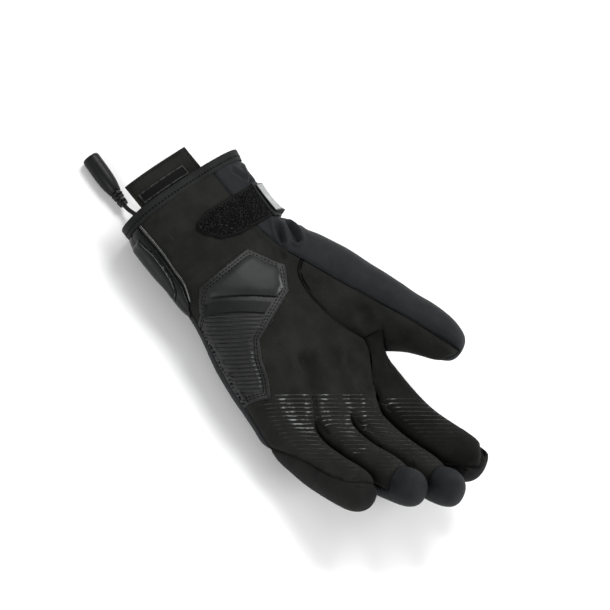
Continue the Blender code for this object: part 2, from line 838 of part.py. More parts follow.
def wrist_pieces(shell, materials):
    up = Vector((0, 0, 1))
    points = from_above(LOOP_OUTLINE)
    top = PIECE_GAP + LOOP_THICKNESS
    cutter = prism("loop_patch_cutter", points, up * 2 * DEPTH)
    faces = facing(shell, points, up)
    sewn_piece("loop_patch", faces, PIECE_GAP, top, cutter, materials["loop"])
    band = []
    for face in shell.faces:
        if abs(face.calc_center_median().y - STRAP_Y) < STRAP_WIDTH:
            band.append(face)
    low = top + PIECE_GAP
    high = low + STRAP_THICKNESS
    face_low = high + PIECE_GAP
    face_high = face_low + STRAP_FACE_THICKNESS
    rows = [
        ("wrist_strap", STRAP_PATH, 0.0, low, high, "strap"),
        ("strap_face", STRAP_FACE_PATH, STRAP_HEM, face_low, face_high, "label"),
    ]
    for name, path, hem, low, high, material in rows:
        start = STRAP_Y - STRAP_WIDTH / 2 + hem
        outline = [Vector((x * HALF_WIDTH, start, z * DEPTH)) for x, z in path]
        depth = Vector((0, STRAP_WIDTH - 2 * hem, 0))
        cutter = prism(name + "_cutter", outline, depth)
        sewn_piece(name, band, low, high, cutter, materials[material])


def hem_loop(shell):
    """The vertices round the cuff's mouth in order."""
    rim = [edge for edge in shell.edges if len(edge.link_faces) == 1]
    start = rim[0].verts[0]
    loop = [start]
    edge = rim[0]
    vert = rim[0].verts[1]
    while vert is not start:
        loop.append(vert)
        edge = [e for e in vert.link_edges if len(e.link_faces) == 1 and e is not edge][0]
        vert = edge.other_vert(vert)
    return loop


def cuff_binding(shell, material):
    """A tape folded over the hem: an outer leg, the fold and an inner leg."""
    outer = PIECE_GAP + BINDING_TAPE
    inner = WALL + PIECE_GAP
    section = [
        # height above the shell, distance from the hem
        (outer, BINDING_HEIGHT),
        (outer, -outer),
        (-inner - BINDING_TAPE, -outer),
        (-inner - BINDING_TAPE, BINDING_HEIGHT),
        (-inner, BINDING_HEIGHT),
        (-inner, -PIECE_GAP),
        (PIECE_GAP, -PIECE_GAP),
        (PIECE_GAP, BINDING_HEIGHT),
    ]
    bm = bmesh.new()
    rings = []
    for vert in hem_loop(shell):
        ways = [(e.other_vert(vert).co - vert.co).normalized() for e in vert.link_edges]
        way = max(ways, key=lambda w: w.y)
        rings.append([bm.verts.new(vert.co + vert.normal * d + way * s) for d, s in section])
    for k, ring in enumerate(rings):
        bridge(bm, ring, rings[(k + 1) % len(rings)], [0] * len(section))
    bmesh.ops.recalc_face_normals(bm, faces=bm.faces)
    add_object("cuff_binding", bm, material)


def pocket_flap(shell, materials):
    """The flap behind the palm side's hem, on the cuff's walls drawn out past the mouth."""
    drawn = shell.copy()
    rim = [edge for edge in drawn.edges if len(edge.link_faces) == 1]
    grown = bmesh.ops.extrude_edge_only(drawn, edges=rim)
    moved = [item for item in grown["geom"] if isinstance(item, bmesh.types.BMVert)]
    bmesh.ops.translate(drawn, verts=moved, vec=(0, -2 * FLAP_OUT, 0))
    bmesh.ops.recalc_face_normals(drawn, faces=drawn.faces)
    drawn.normal_update()
    high = -(WALL + 2 * PIECE_GAP + BINDING_TAPE)
    low = high - FLAP_THICKNESS
    up = Vector((0, 0, 1))
    under = high + PIECE_GAP
    rows = [
        ("pocket_flap", FLAP_ACROSS, FLAP_WIDTH, MOUTH_Y - FLAP_OUT, MOUTH_Y + FLAP_IN,
         low, high, "knit"),
        ("flap_label", LABEL_ACROSS, LABEL_LENGTH, LABEL_Y - LABEL_HEIGHT / 2,
         LABEL_Y + LABEL_HEIGHT / 2, under, under + LABEL_THICKNESS, "rubber"),
    ]
    for name, across, width, y0, y1, low, high, material in rows:
        left = across * HALF_WIDTH - width / 2
        right = left + width
        corners = [(left, y0), (right, y0), (right, y1), (left, y1)]
        points = [Vector((x, y, CUTTER_UP * DEPTH)) for x, y in corners]
        cutter = prism(name + "_cutter", points, up * 2 * DEPTH)
        faces = facing(drawn, points, up, FLAP_CUT_MARGIN)
        sewn_piece(name, faces, low, high, cutter, materials[material])
    drawn.free()


def tube(name, points, radius, material):
    """A round bar along a smooth curve through its points, with closed ends."""
    curve = bpy.data.curves.new(name, "CURVE")
    curve.dimensions = "3D"
    curve.bevel_depth = radius
    curve.bevel_resolution = 2
    curve.use_fill_caps = True
    line = curve.splines.new("POLY")
    line.points.add(len(points) - 1)
    for target, point in zip(line.points, points):
        target.co = (*point, 1.0)
    curve.materials.append(material)
    piece = bpy.data.objects.new(name, curve)
    bpy.context.scene.collection.objects.link(piece)
    return piece


def smooth_route(points, steps):
    """Points along a Catmull-Rom curve through the given ones."""
    ends = [points[0] * 2 - points[1]] + points + [points[-1] * 2 - points[-2]]
    route = []
    for k in range(1, len(ends) - 2):
        a, b, c, d = ends[k - 1:k + 3]
        for step in range(steps):
            t = step / steps
            route.append(0.5 * (2 * b + (c - a) * t + (2 * a - 5 * b + 4 * c - d) * t * t
                                + (3 * b - a - 3 * c + d) * t ** 3))
    route.append(points[-1])
    return route


def shield_piping(shell, material):
    """A cord sewn along the palm edge of the side shield."""
    tree = BVHTree.FromBMesh(shell)
    points = []
    hem = (BINDING_HEIGHT + 2 * PIECE_GAP) / HAND_LENGTH
    for along, up in [(hem, SHIELD_EDGE[0][1])] + SHIELD_EDGE:
        start = Vector((2 * HALF_WIDTH, along_y(along), up * DEPTH))
        hit, normal, face, far = tree.ray_cast(start, Vector((-1, 0, 0)))
        points.append(hit + normal * (PIPING_RADIUS + PIECE_GAP))
    tube("shield_piping", smooth_route(points, 3), PIPING_RADIUS, material)


def power_lead(materials):
    """The gland inside the cuff, the lead and its connector."""
    route = [Vector((x * HALF_WIDTH, along_y(y), z * DEPTH)) for x, y, z in CORD_ROUTE]
    tube("power_cord", smooth_route(route, 1), CORD_DIAMETER / 2, materials["tape"])

    bm = bmesh.new()
    start = route[0] + Vector((0, PIECE_GAP + GLAND_LENGTH / 2, 0))
    bmesh.ops.create_cone(bm, cap_ends=True, segments=GLAND_SIDES, radius1=GLAND_RADIUS,
                          radius2=GLAND_RADIUS * GLAND_TAPER, depth=GLAND_LENGTH)
    bmesh.ops.rotate(bm, verts=bm.verts, matrix=Matrix.Rotation(math.radians(90), 3, "X"))
    bmesh.ops.translate(bm, verts=bm.verts, vec=start)
    add_object("cord_gland", bm, materials["plastic"])

    bm = bmesh.new()
    profile = [(0.0, 0.0)]
    profile += [(r * PLUG_RADIUS, y * PLUG_LENGTH) for y, r in PLUG_PROFILE]
    profile.append((PLUG_BORE_RADIUS, PLUG_LENGTH))
    profile.append((PLUG_BORE_RADIUS, PLUG_LENGTH - PLUG_BORE_DEPTH))
    profile.append((0.0, PLUG_LENGTH - PLUG_BORE_DEPTH))
    end = route[-1] - Vector((0, PIECE_GAP, 0))
    verts = [bm.verts.new((end.x + r, end.y - y, end.z)) for r, y in profile]
    edges = [bm.edges.new(pair) for pair in zip(verts, verts[1:])]
    bmesh.ops.spin(bm, geom=verts + edges, cent=end, axis=(0, 1, 0), angle=2 * math.pi,
                   steps=PLUG_SIDES, use_merge=True)
    bmesh.ops.remove_doubles(bm, verts=bm.verts, dist=0.00001)
    bmesh.ops.rotate(bm, verts=bm.verts, cent=end,
                     matrix=Matrix.Rotation(-math.radians(PLUG_TURN), 3, "Z"))
    bmesh.ops.recalc_face_normals(bm, faces=bm.faces)
    add_object("connector", bm, materials["plastic"])


def stand_on_origin(loose):
    """Centres the glove on the origin in X and Y, measured without its lead."""
    graph = bpy.context.evaluated_depsgraph_get()
    lows = Vector((1, 1, 1))
    highs = Vector((-1, -1, -1))
    for piece in bpy.data.objects:
        if piece.hide_render or piece.name in loose:
            continue
        for vert in piece.evaluated_get(graph).to_mesh().vertices:
            for i in range(3):
                lows[i] = min(lows[i], vert.co[i])
                highs[i] = max(highs[i], vert.co[i])
    middle = (lows + highs) / 2
    for piece in bpy.data.objects:
        piece.location = (-middle.x, -middle.y, -lows.z)


def build_glove():
    clear_scene()
    materials = {name: make_material(name, rough) for name, rough in ROUGHNESS.items()}
    shell = smooth_cage(build_cage())
    for number, (name, material) in enumerate(PANELS):
        faces = [face for face in shell.faces if face.material_index == number]
        add_object(name, slab(faces, -WALL, 0.0, SEAM_GAP / 2), materials[material])
    cuff_binding(shell, materials["tape"])
    pocket_flap(shell, materials)
    palm_pieces(shell, materials)
    shield_pieces(shell, materials)
    shield_piping(shell, materials["rubber"])
    wrist_pieces(shell, materials)
    power_lead(materials)
    shell.free()
    stand_on_origin(("power_cord", "connector"))


build_glove()
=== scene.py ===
import json
import math
import random

import bmesh
import bpy
import numpy as np
from mathutils import Matrix, Vector, kdtree, noise
from mathutils.bvhtree import BVHTree


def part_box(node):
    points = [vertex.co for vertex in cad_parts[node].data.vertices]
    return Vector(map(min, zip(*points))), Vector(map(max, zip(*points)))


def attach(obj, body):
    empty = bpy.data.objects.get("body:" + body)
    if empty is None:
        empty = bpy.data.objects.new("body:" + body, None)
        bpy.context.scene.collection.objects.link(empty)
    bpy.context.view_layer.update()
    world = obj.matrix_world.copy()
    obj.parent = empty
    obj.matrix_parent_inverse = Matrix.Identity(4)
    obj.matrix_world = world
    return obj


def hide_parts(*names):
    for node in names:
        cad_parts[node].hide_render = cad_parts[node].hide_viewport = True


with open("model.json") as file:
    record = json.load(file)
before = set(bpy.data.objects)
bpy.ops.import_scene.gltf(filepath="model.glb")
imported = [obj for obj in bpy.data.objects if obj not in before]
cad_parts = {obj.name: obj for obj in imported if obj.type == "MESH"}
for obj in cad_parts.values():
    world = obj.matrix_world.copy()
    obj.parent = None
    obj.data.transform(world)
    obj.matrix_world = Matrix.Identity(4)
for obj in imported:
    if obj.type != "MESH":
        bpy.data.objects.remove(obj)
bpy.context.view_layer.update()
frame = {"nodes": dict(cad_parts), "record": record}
hollows = frame["record"]["physics"]["openings"]
up = Vector((0, 0, 1))
littleSide = Vector((1, 0, 0))
forward = Vector((0, 1, 0))
print("frame loaded")

# the hand's own place in the frame, from the sleeve that the lead leaves
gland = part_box("cord_gland")
hand = {
    "middleX": (gland[0][0] + gland[1][0]) / 2 - 0.0230,
    "startY": gland[0][1] - 0.0183,
}


# camera, light and floor

studio = {
    "lookAt": (-0.0276, -0.0245, 0.0033),
    "right": (-0.716, 0.622, 0.318),
    "above": (-0.4645, -0.764, 0.449),
    "distance": 12.0,
    "lens": 1133.0,
    "lampsAt": (0, 0, 0.03),
    "worldLight": 0.55,
    "floorSize": 6.0,
}
lamps = [
    # name, place from the glove, size, watts
    ("key", (-0.90, -0.70, 1.70), 0.90, 30.0),
    ("side", (1.50, 0.20, 1.10), 0.60, 14.0),
    ("tips", (-0.30, 1.60, 1.20), 0.60, 12.0),
    ("rim", (-1.50, 0.50, 0.70), 0.40, 7.0),
]


def aimAt(place, target):
    return (Vector(target) - Vector(place)).to_track_quat("-Z", "Y").to_euler()


def addToScene(name, data):
    thing = bpy.data.objects.new(name, data)
    bpy.context.scene.collection.objects.link(thing)
    return thing


def makeStudio():
    right = Vector(studio["right"]).normalized()
    above = Vector(studio["above"]).normalized()
    back = right.cross(above)
    turn = Matrix((right, above, back)).transposed().to_4x4()
    camera = addToScene("camera", bpy.data.cameras.new("camera"))
    camera.matrix_world = Matrix.Translation(Vector(studio["lookAt"]) + back * studio["distance"]) @ turn
    camera.data.lens = studio["lens"]
    bpy.context.scene.camera = camera
    for name, place, size, watts in lamps:
        light = bpy.data.lights.new(name, "AREA")
        light.size = size
        light.energy = watts
        lamp = addToScene(name, light)
        lamp.location = place
        lamp.rotation_euler = aimAt(place, studio["lampsAt"])
    world = bpy.data.worlds.new("studio")
    bpy.context.scene.world = world
    world.use_nodes = True
    background = world.node_tree.nodes["Background"]
    background.inputs["Color"].default_value = (1, 1, 1, 1)
    background.inputs["Strength"].default_value = studio["worldLight"]
    bm = bmesh.new()
    bmesh.ops.create_grid(bm, x_segments=1, y_segments=1, size=studio["floorSize"] / 2)
    mesh = bpy.data.meshes.new("floor")
    bm.to_mesh(mesh)
    bm.free()
    floorPaint = bpy.data.materials.new("floor")
    floorPaint.use_nodes = True
    shader = floorPaint.node_tree.nodes["Principled BSDF"]
    shader.inputs["Base Color"].default_value = (0.90, 0.90, 0.90, 1)
    shader.inputs["Roughness"].default_value = 0.9
    mesh.materials.append(floorPaint)
    addToScene("floor", mesh)
    bpy.context.scene.view_settings.view_transform = "Standard"


makeStudio()
print("studio set")


# materials

def newGroup(name, inputs, outputs):
    group = bpy.data.node_groups.new(name, "ShaderNodeTree")
    for label, kind, value in inputs:
        socket = group.interface.new_socket(name=label, in_out="INPUT", socket_type=kind)
        if value is not None:
            socket.default_value = value
    for label, kind in outputs:
        group.interface.new_socket(name=label, in_out="OUTPUT", socket_type=kind)
    return group, group.nodes.new("NodeGroupInput"), group.nodes.new("NodeGroupOutput")


def mathNode(tree, operation, first, second):
    node = tree.nodes.new("ShaderNodeMath")
    node.operation = operation
    for socket, value in zip(node.inputs, (first, second)):
        if isinstance(value, (int, float)):
            socket.default_value = value
        else:
            tree.links.new(value, socket)
    return node.outputs[0]


def mapRange(tree, value, low, high, toLow, toHigh):
    node = tree.nodes.new("ShaderNodeMapRange")
    node.interpolation_type = "SMOOTHSTEP"
    tree.links.new(value, node.inputs["Value"])
    for label, number in (("From Min", low), ("From Max", high), ("To Min", toLow), ("To Max", toHigh)):
        node.inputs[label].default_value = number
    return node.outputs["Result"]


def mixColors(tree, factor, first, second):
    node = tree.nodes.new("ShaderNodeMix")
    node.data_type = "RGBA"
    tree.links.new(factor, node.inputs["Factor"])
    for socket, value in ((node.inputs["A"], first), (node.inputs["B"], second)):
        if isinstance(value, tuple):
            socket.default_value = (*value, 1.0)
        else:
            tree.links.new(value, socket)
    return node.outputs["Result"]


def noiseNode(tree, vector, scale, detail, roughness=0.5):
    node = tree.nodes.new("ShaderNodeTexNoise")
    node.inputs["Scale"].default_value = scale
    node.inputs["Detail"].default_value = detail
    node.inputs["Roughness"].default_value = roughness
    tree.links.new(vector, node.inputs["Vector"])
    return node.outputs["Fac"]


def makeWeaveGroup():
    # small stitches of the cloth, and a slow unevenness
    group, come, go = newGroup("clothWeave", [
        ("Vector", "NodeSocketVector", None),
        ("Threads", "NodeSocketFloat", 1500.0),
        ("Patches", "NodeSocketFloat", 55.0),
        ("Streaks", "NodeSocketFloat", 0.3),
    ], [("Height", "NodeSocketFloat"), ("Mottle", "NodeSocketFloat"), ("Lint", "NodeSocketFloat")])
    cells = group.nodes.new("ShaderNodeTexVoronoi")
    group.links.new(come.outputs["Vector"], cells.inputs["Vector"])
    group.links.new(come.outputs["Threads"], cells.inputs["Scale"])
    fine = noiseNode(group, come.outputs["Vector"], 900.0, 3.0, 0.7)
    height = mathNode(group, "ADD", mathNode(group, "MULTIPLY", cells.outputs["Distance"], 0.7), fine)
    slow = group.nodes.new("ShaderNodeTexNoise")
    slow.inputs["Detail"].default_value = 4.0
    slow.inputs["Roughness"].default_value = 0.6
    group.links.new(come.outputs["Vector"], slow.inputs["Vector"])
    group.links.new(come.outputs["Patches"], slow.inputs["Scale"])
    stretch = group.nodes.new("ShaderNodeMapping")
    stretch.inputs["Rotation"].default_value = (0.2, 0.3, 0.55)
    stretch.inputs["Scale"].default_value = (1.0, 0.16, 1.0)
    group.links.new(come.outputs["Vector"], stretch.inputs["Vector"])
    hairs = noiseNode(group, stretch.outputs["Vector"], 520.0, 2.0, 0.55)
    lint = mapRange(group, hairs, 0.66, 0.76, 0.0, 1.0)
    lint = mathNode(group, "MULTIPLY", lint, come.outputs["Streaks"])
    group.links.new(height, go.inputs["Height"])
    group.links.new(slow.outputs["Fac"], go.inputs["Mottle"])
    group.links.new(lint, go.inputs["Lint"])
    return group


def makeGrainGroup():
    # the moulded skin of rubber and plastic, with dusty spots
    group, come, go = newGroup("mouldedGrain", [
        ("Vector", "NodeSocketVector", None),
        ("Grain", "NodeSocketFloat", 2200.0),
    ], [("Height", "NodeSocketFloat"), ("Dust", "NodeSocketFloat")])
    grain = group.nodes.new("ShaderNodeTexNoise")
    grain.inputs["Detail"].default_value = 2.0
    group.links.new(come.outputs["Vector"], grain.inputs["Vector"])
    group.links.new(come.outputs["Grain"], grain.inputs["Scale"])
    dust = noiseNode(group, come.outputs["Vector"], 160.0, 5.0, 0.65)
    group.links.new(grain.outputs["Fac"], go.inputs["Height"])
    group.links.new(mapRange(group, dust, 0.45, 0.75, 0.0, 1.0), go.inputs["Dust"])
    return group


weaveGroup = makeWeaveGroup()
grainGroup = makeGrainGroup()


def startMaterial(name):
    material = bpy.data.materials.new(name)
    material.use_nodes = True
    tree = material.node_tree
    place = tree.nodes.new("ShaderNodeTexCoord").outputs["Object"]
    return material, tree, tree.nodes["Principled BSDF"], place


def addBump(tree, shader, height, depth, strength):
    bump = tree.nodes.new("ShaderNodeBump")
    bump.inputs["Strength"].default_value = strength
    bump.inputs["Distance"].default_value = depth
    tree.links.new(height, bump.inputs["Height"])
    tree.links.new(bump.outputs["Normal"], shader.inputs["Normal"])


cloths = {
    # dark and light colour, roughness, specular, threads to the metre, bump in metres, lint
    "knit": {"dark": (0.0066, 0.0066, 0.0060), "light": (0.0112, 0.0112, 0.0102), "rough": 0.82,
             "specular": 0.10, "threads": 1500.0, "bump": 0.00022, "lint": 0.15},
    # shadeKnit is the knit darkened as painted shade, for the index finger's palm side
    "shadeKnit": {"dark": (0.0040, 0.0040, 0.0037), "light": (0.0068, 0.0068, 0.0062), "rough": 0.84,
                  "specular": 0.07, "threads": 1500.0, "bump": 0.00022, "lint": 0.10},
    "softshell": {"dark": (0.0056, 0.0068, 0.0078), "light": (0.0088, 0.0107, 0.0120), "rough": 0.62,
                  "specular": 0.12, "threads": 2600.0, "bump": 0.00010, "lint": 0.06},
    "backCloth": {"dark": (0.0058, 0.0068, 0.0075), "light": (0.0090, 0.0104, 0.0114), "rough": 0.64,
                  "specular": 0.12, "threads": 2600.0, "bump": 0.00010, "lint": 0.06},
    "tipCloth": {"dark": (0.0044, 0.0045, 0.0042), "light": (0.0075, 0.0077, 0.0072), "rough": 0.76,
                 "specular": 0.10, "threads": 2000.0, "bump": 0.00014, "lint": 0.10},
    "tape": {"dark": (0.0045, 0.0048, 0.0048), "light": (0.0085, 0.0090, 0.0090), "rough": 0.66,
             "specular": 0.12, "threads": 1700.0, "bump": 0.00025, "lint": 0.08},
    "pile": {"dark": (0.0012, 0.0012, 0.0012), "light": (0.0035, 0.0035, 0.0035), "rough": 0.75,
             "specular": 0.08, "threads": 1800.0, "bump": 0.00030, "lint": 0.0},
    # the loops' light colour, mixed in by fine noise, paints highlights on the loops as pale specks
    "loops": {"dark": (0.0012, 0.0012, 0.0012), "light": (0.1250, 0.1270, 0.1270), "rough": 0.55,
              "specular": 0.12, "threads": 1800.0, "bump": 0.00010, "lint": 0.0,
              "patches": 1050.0, "spread": (0.54, 0.66)},
    "coated": {"dark": (0.0072, 0.0076, 0.0075), "light": (0.0110, 0.0115, 0.0113), "rough": 0.46,
               "specular": 0.20, "threads": 2600.0, "bump": 0.00006, "lint": 0.06},
    # the cushion's pale colour is the painted highlight on the pad's edge
    "cushion": {"dark": (0.0086, 0.0092, 0.0092), "light": (0.0128, 0.0135, 0.0135), "rough": 0.46,
                "specular": 0.15, "threads": 2600.0, "bump": 0.00003, "lint": 0.03,
                "pale": (0.2600, 0.2700, 0.2700)},
    "strapCloth": {"dark": (0.0045, 0.0047, 0.0047), "light": (0.0090, 0.0094, 0.0094), "rough": 0.60,
                   "specular": 0.15, "threads": 1600.0, "bump": 0.00025, "lint": 0.05},
    "paleFacing": {"dark": (0.2400, 0.2500, 0.2500), "light": (0.3400, 0.3500, 0.3500), "rough": 0.50,
                   "specular": 0.25, "threads": 1500.0, "bump": 0.00020, "lint": 0.0,
                   "deep": 0.02, "seamShare": 0.0},
    "darkThread": {"dark": (0.0005, 0.0005, 0.0005), "light": (0.0018, 0.0018, 0.0018), "rough": 0.70,
                   "specular": 0.05, "sheen": 0.0, "threads": 3000.0, "bump": 0.00010, "lint": 0.0},
    "greyThread": {"dark": (0.0100, 0.0104, 0.0104), "light": (0.0220, 0.0226, 0.0226), "rough": 0.55,
                   "specular": 0.20, "threads": 3000.0, "bump": 0.00010, "lint": 0.0},
}
moulded = {
    # colour, dusty colour, roughness, dusty roughness, specular, coat, grain to the metre, bump in metres
    "rubber": {"color": (0.0040, 0.0044, 0.0047), "dusty": (0.0058, 0.0063, 0.0066), "rough": 0.22,
               "dustyRough": 0.28, "specular": 0.12, "grain": 2600.0, "bump": 0.00001},
    # mattRubber's pale colour is the painted highlight on the plaque's rim
    "mattRubber": {"color": (0.0036, 0.0038, 0.0037), "dusty": (0.0052, 0.0054, 0.0053), "rough": 0.62,
                   "dustyRough": 0.70, "specular": 0.04, "grain": 2600.0, "bump": 0.00003,
                   "pale": (0.0360, 0.0375, 0.0368)},
    "bandPrint": {"color": (0.0074, 0.0078, 0.0078), "dusty": (0.0100, 0.0105, 0.0105), "rough": 0.50,
                  "dustyRough": 0.60, "specular": 0.09, "grain": 2600.0, "bump": 0.00003},
    # gripPrint's pale colour is the painted highlight on the grip lines
    "gripPrint": {"color": (0.0055, 0.0057, 0.0057), "dusty": (0.0085, 0.0088, 0.0088), "rough": 0.30,
                  "dustyRough": 0.42, "specular": 0.22, "grain": 1600.0, "bump": 0.00002,
                  "pale": (0.1700, 0.1780, 0.1780)},
    "plastic": {"color": (0.0034, 0.0037, 0.0037), "dusty": (0.0054, 0.0058, 0.0058), "rough": 0.42,
                "dustyRough": 0.52, "specular": 0.18, "grain": 3000.0, "bump": 0.00002},
    # the bead's pale colour is painted highlight, on the rib ends and along the shield leaf's outline
    "bead": {"color": (0.0420, 0.0440, 0.0450), "dusty": (0.0650, 0.0680, 0.0690), "rough": 0.25,
             "dustyRough": 0.35, "specular": 0.40, "coat": 0.10, "grain": 2500.0, "bump": 0.00001},
    # the piping is a real cord, its colour made paler than the shield's rubber as a painted highlight along
    # it
    "piping": {"color": (0.0150, 0.0158, 0.0162), "dusty": (0.0230, 0.0240, 0.0245), "rough": 0.22,
               "dustyRough": 0.30, "specular": 0.45, "coat": 0.15, "grain": 2500.0, "bump": 0.00001},
    "sheath": {"color": (0.0035, 0.0036, 0.0036), "dusty": (0.0060, 0.0061, 0.0061), "rough": 0.45,
               "dustyRough": 0.55, "specular": 0.20, "grain": 2500.0, "bump": 0.00002},
}


def paintHighlightWhereLit(tree, place, color, pale):
    # the attribute is 1 where a highlight is painted: there the colour turns pale, broken up by noise
    lit = tree.nodes.new("ShaderNodeAttribute")
    lit.attribute_name = "lit"
    broken = mapRange(tree, noiseNode(tree, place, 420.0, 2.0), 0.38, 0.54, 0.25, 1.0)
    return mixColors(tree, mathNode(tree, "MULTIPLY", lit.outputs["Fac"], broken), color, pale)


def makeCloth(name):
    use = cloths[name]
    material, tree, shader, place = startMaterial(name)
    weave = tree.nodes.new("ShaderNodeGroup")
    weave.node_tree = weaveGroup
    weave.inputs["Threads"].default_value = use["threads"]
    weave.inputs["Patches"].default_value = use.get("patches", 55.0)
    weave.inputs["Streaks"].default_value = use["lint"]
    tree.links.new(place, weave.inputs["Vector"])
    low, high = use.get("spread", (0.35, 0.65))
    mottle = mapRange(tree, weave.outputs["Mottle"], low, high, 0.0, 1.0)
    color = mixColors(tree, mottle, use["dark"], use["light"])
    pale = tuple(0.012 + 2.5 * c for c in use["light"])
    color = mixColors(tree, weave.outputs["Lint"], color, pale)
    seam = tree.nodes.new("ShaderNodeAttribute")
    seam.attribute_name = "clearOfShadeAndRimLine"  # 0 in a seam's groove, where shade is painted, and on a dark rim line; 1 away from them
    # where that share is low the colour darkens towards deep: painted shade in grooves, and the facing's dark
    # rim line
    shade = mapRange(tree, seam.outputs["Fac"], 0.0, 1.0, use.get("seamShare", 0.45), 1.0)
    deep = tuple(use.get("deep", 0.35) * c for c in use["dark"])
    color = mixColors(tree, shade, deep, color)
    # pale, where given, is the colour of a painted highlight
    if "pale" in use:
        color = paintHighlightWhereLit(tree, place, color, use["pale"])
    tree.links.new(color, shader.inputs["Base Color"])
    shader.inputs["Roughness"].default_value = use["rough"]
    shader.inputs["Sheen Weight"].default_value = use.get("sheen", 0.02)
    shader.inputs["Sheen Roughness"].default_value = 0.5
    shader.inputs["Specular IOR Level"].default_value = use["specular"]
    addBump(tree, shader, weave.outputs["Height"], use["bump"], 1.0)
    return material


def makeMoulded(name):
    use = moulded[name]
    material, tree, shader, place = startMaterial(name)
    grain = tree.nodes.new("ShaderNodeGroup")
    grain.node_tree = grainGroup
    grain.inputs["Grain"].default_value = use["grain"]
    tree.links.new(place, grain.inputs["Vector"])
    color = mixColors(tree, grain.outputs["Dust"], use["color"], use["dusty"])
    # pale, where given, is the colour of a painted highlight
    if "pale" in use:
        color = paintHighlightWhereLit(tree, place, color, use["pale"])
    tree.links.new(color, shader.inputs["Base Color"])
    shader.inputs["Specular IOR Level"].default_value = use["specular"]
    rough = mapRange(tree, grain.outputs["Dust"], 0.0, 1.0, use["rough"], use["dustyRough"])
    tree.links.new(rough, shader.inputs["Roughness"])
    shader.inputs["Coat Weight"].default_value = use.get("coat", 0.0)
    shader.inputs["Coat Roughness"].default_value = 0.15
    addBump(tree, shader, grain.outputs["Height"], use["bump"], 1.0)
    return material


materials = {name: makeCloth(name) for name in cloths}
materials.update({name: makeMoulded(name) for name in moulded})
print("materials made")


# tools for meshes

def readNode(node):
    bm = bmesh.new()
    bm.from_mesh(frame["nodes"][node].data)
    bmesh.ops.remove_doubles(bm, verts=bm.verts, dist=0.00002)
    bm.normal_update()
    return bm


def placeMesh(mesh, name, nodes=()):
    piece = addToScene(name, mesh)
    dress(piece, nodes)
    return piece


def addPiece(bm, name, material, nodes=()):
    mesh = bpy.data.meshes.new(name)
    bm.to_mesh(mesh)
    bm.free()
    mesh.materials.append(materials[material])
    mesh.shade_smooth()
    return placeMesh(mesh, name, nodes)


def dress(piece, nodes=()):
    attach(piece, "root")
    if nodes:
        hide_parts(*nodes)


def bakeModifiers(piece):
    # the piece's mesh as its modifiers leave it, with the modifiers gone
    graph = bpy.context.evaluated_depsgraph_get()
    made = bpy.data.meshes.new_from_object(piece.evaluated_get(graph))
    old = piece.data
    piece.modifiers.clear()
    made.name = old.name
    piece.data = made
    bpy.data.meshes.remove(old)


def subdivide(piece, levels):
    smooth = piece.modifiers.new("smooth", "SUBSURF")
    smooth.levels = levels
    smooth.render_levels = levels
    bakeModifiers(piece)


def sharpEdges(bm, angle):
    return [edge for edge in bm.edges if len(edge.link_faces) == 2 and edge.calc_face_angle() > angle]


def creaseEdges(bm, angle, crease):
    # keeps the sharp edges from being smoothed away, and gives them
    layer = bm.edges.layers.float.new("crease_edge")
    edges = sharpEdges(bm, angle)
    for edge in edges:
        edge[layer] = crease
    return edges


def alongEdges(edges, spacing):
    # points an even distance apart along each edge
    found = []
    for edge in edges:
        a, b = edge.verts[0].co, edge.verts[1].co
        steps = max(1, int((b - a).length / spacing))
        found += [a.lerp(b, k / steps) for k in range(steps)]
    return found


def clamp(value):
    return min(max(value, 0.0), 1.0)


def farFrom(point, a, b):
    # how far a point lies from the line between two places
    along = clamp((point - a).dot(b - a) / (b - a).length_squared)
    return (point - a.lerp(b, along)).length


def markOpen(mesh, values=None):
    # the share of each vertex clear of painted shade and of a dark rim line, which the materials read
    layer = mesh.attributes.new("clearOfShadeAndRimLine", "FLOAT", "POINT")
    if values is None:
        values = np.ones(len(mesh.vertices), np.float32)
    layer.data.foreach_set("value", values.astype(np.float32))


def pointTree(points):
    tree = kdtree.KDTree(len(points))
    for k, point in enumerate(points):
        tree.insert(point, k)
    tree.balance()
    return tree


def surfaceOf(pieces):
    graph = bpy.context.evaluated_depsgraph_get()
    bm = bmesh.new()
    for piece in pieces:
        mesh = piece.evaluated_get(graph).to_mesh()
        bm.from_mesh(mesh)
        piece.evaluated_get(graph).to_mesh_clear()
    tree = BVHTree.FromBMesh(bm)
    bm.free()
    return tree


def landOnMark(surface, mark, step, height):
    # the place on a surface at a mark along the ribs' direction, a step along the ribs' run
    slope = ribForward.dot(ribDirection)
    place = ribForward * ((mark - height * ribDirection.z) / slope) + ribRun * step
    found = None
    for turn in range(3):
        found = landing(surface, Vector((place.x, place.y, height)), up)
        if found is None:
            return None
        place += ribForward * (mark - found[0].dot(ribDirection)) / slope
    return found


def landing(surface, point, towards, reach=0.03):
    # where a point seen from outside lands on a surface
    hit, normal, index, far = surface.ray_cast(Vector(point) + towards * reach, -towards, 3 * reach)
    if hit is None:
        return None
    return hit, normal


def spaced(points, pitch, closed=False):
    # points an even distance apart along a line
    line = list(points) + ([points[0]] if closed else [])
    lengths = [0.0]
    for a, b in zip(line, line[1:]):
        lengths.append(lengths[-1] + (b - a).length)
    count = max(2, round(lengths[-1] / pitch))
    step = lengths[-1] / count
    found = []
    k = 0
    for n in range(count + (0 if closed else 1)):
        target = min(n * step, lengths[-1])
        while k < len(lengths) - 2 and lengths[k + 1] < target:
            k += 1
        span = max(lengths[k + 1] - lengths[k], 1e-9)
        found.append(line[k].lerp(line[k + 1], (target - lengths[k]) / span))
    return found


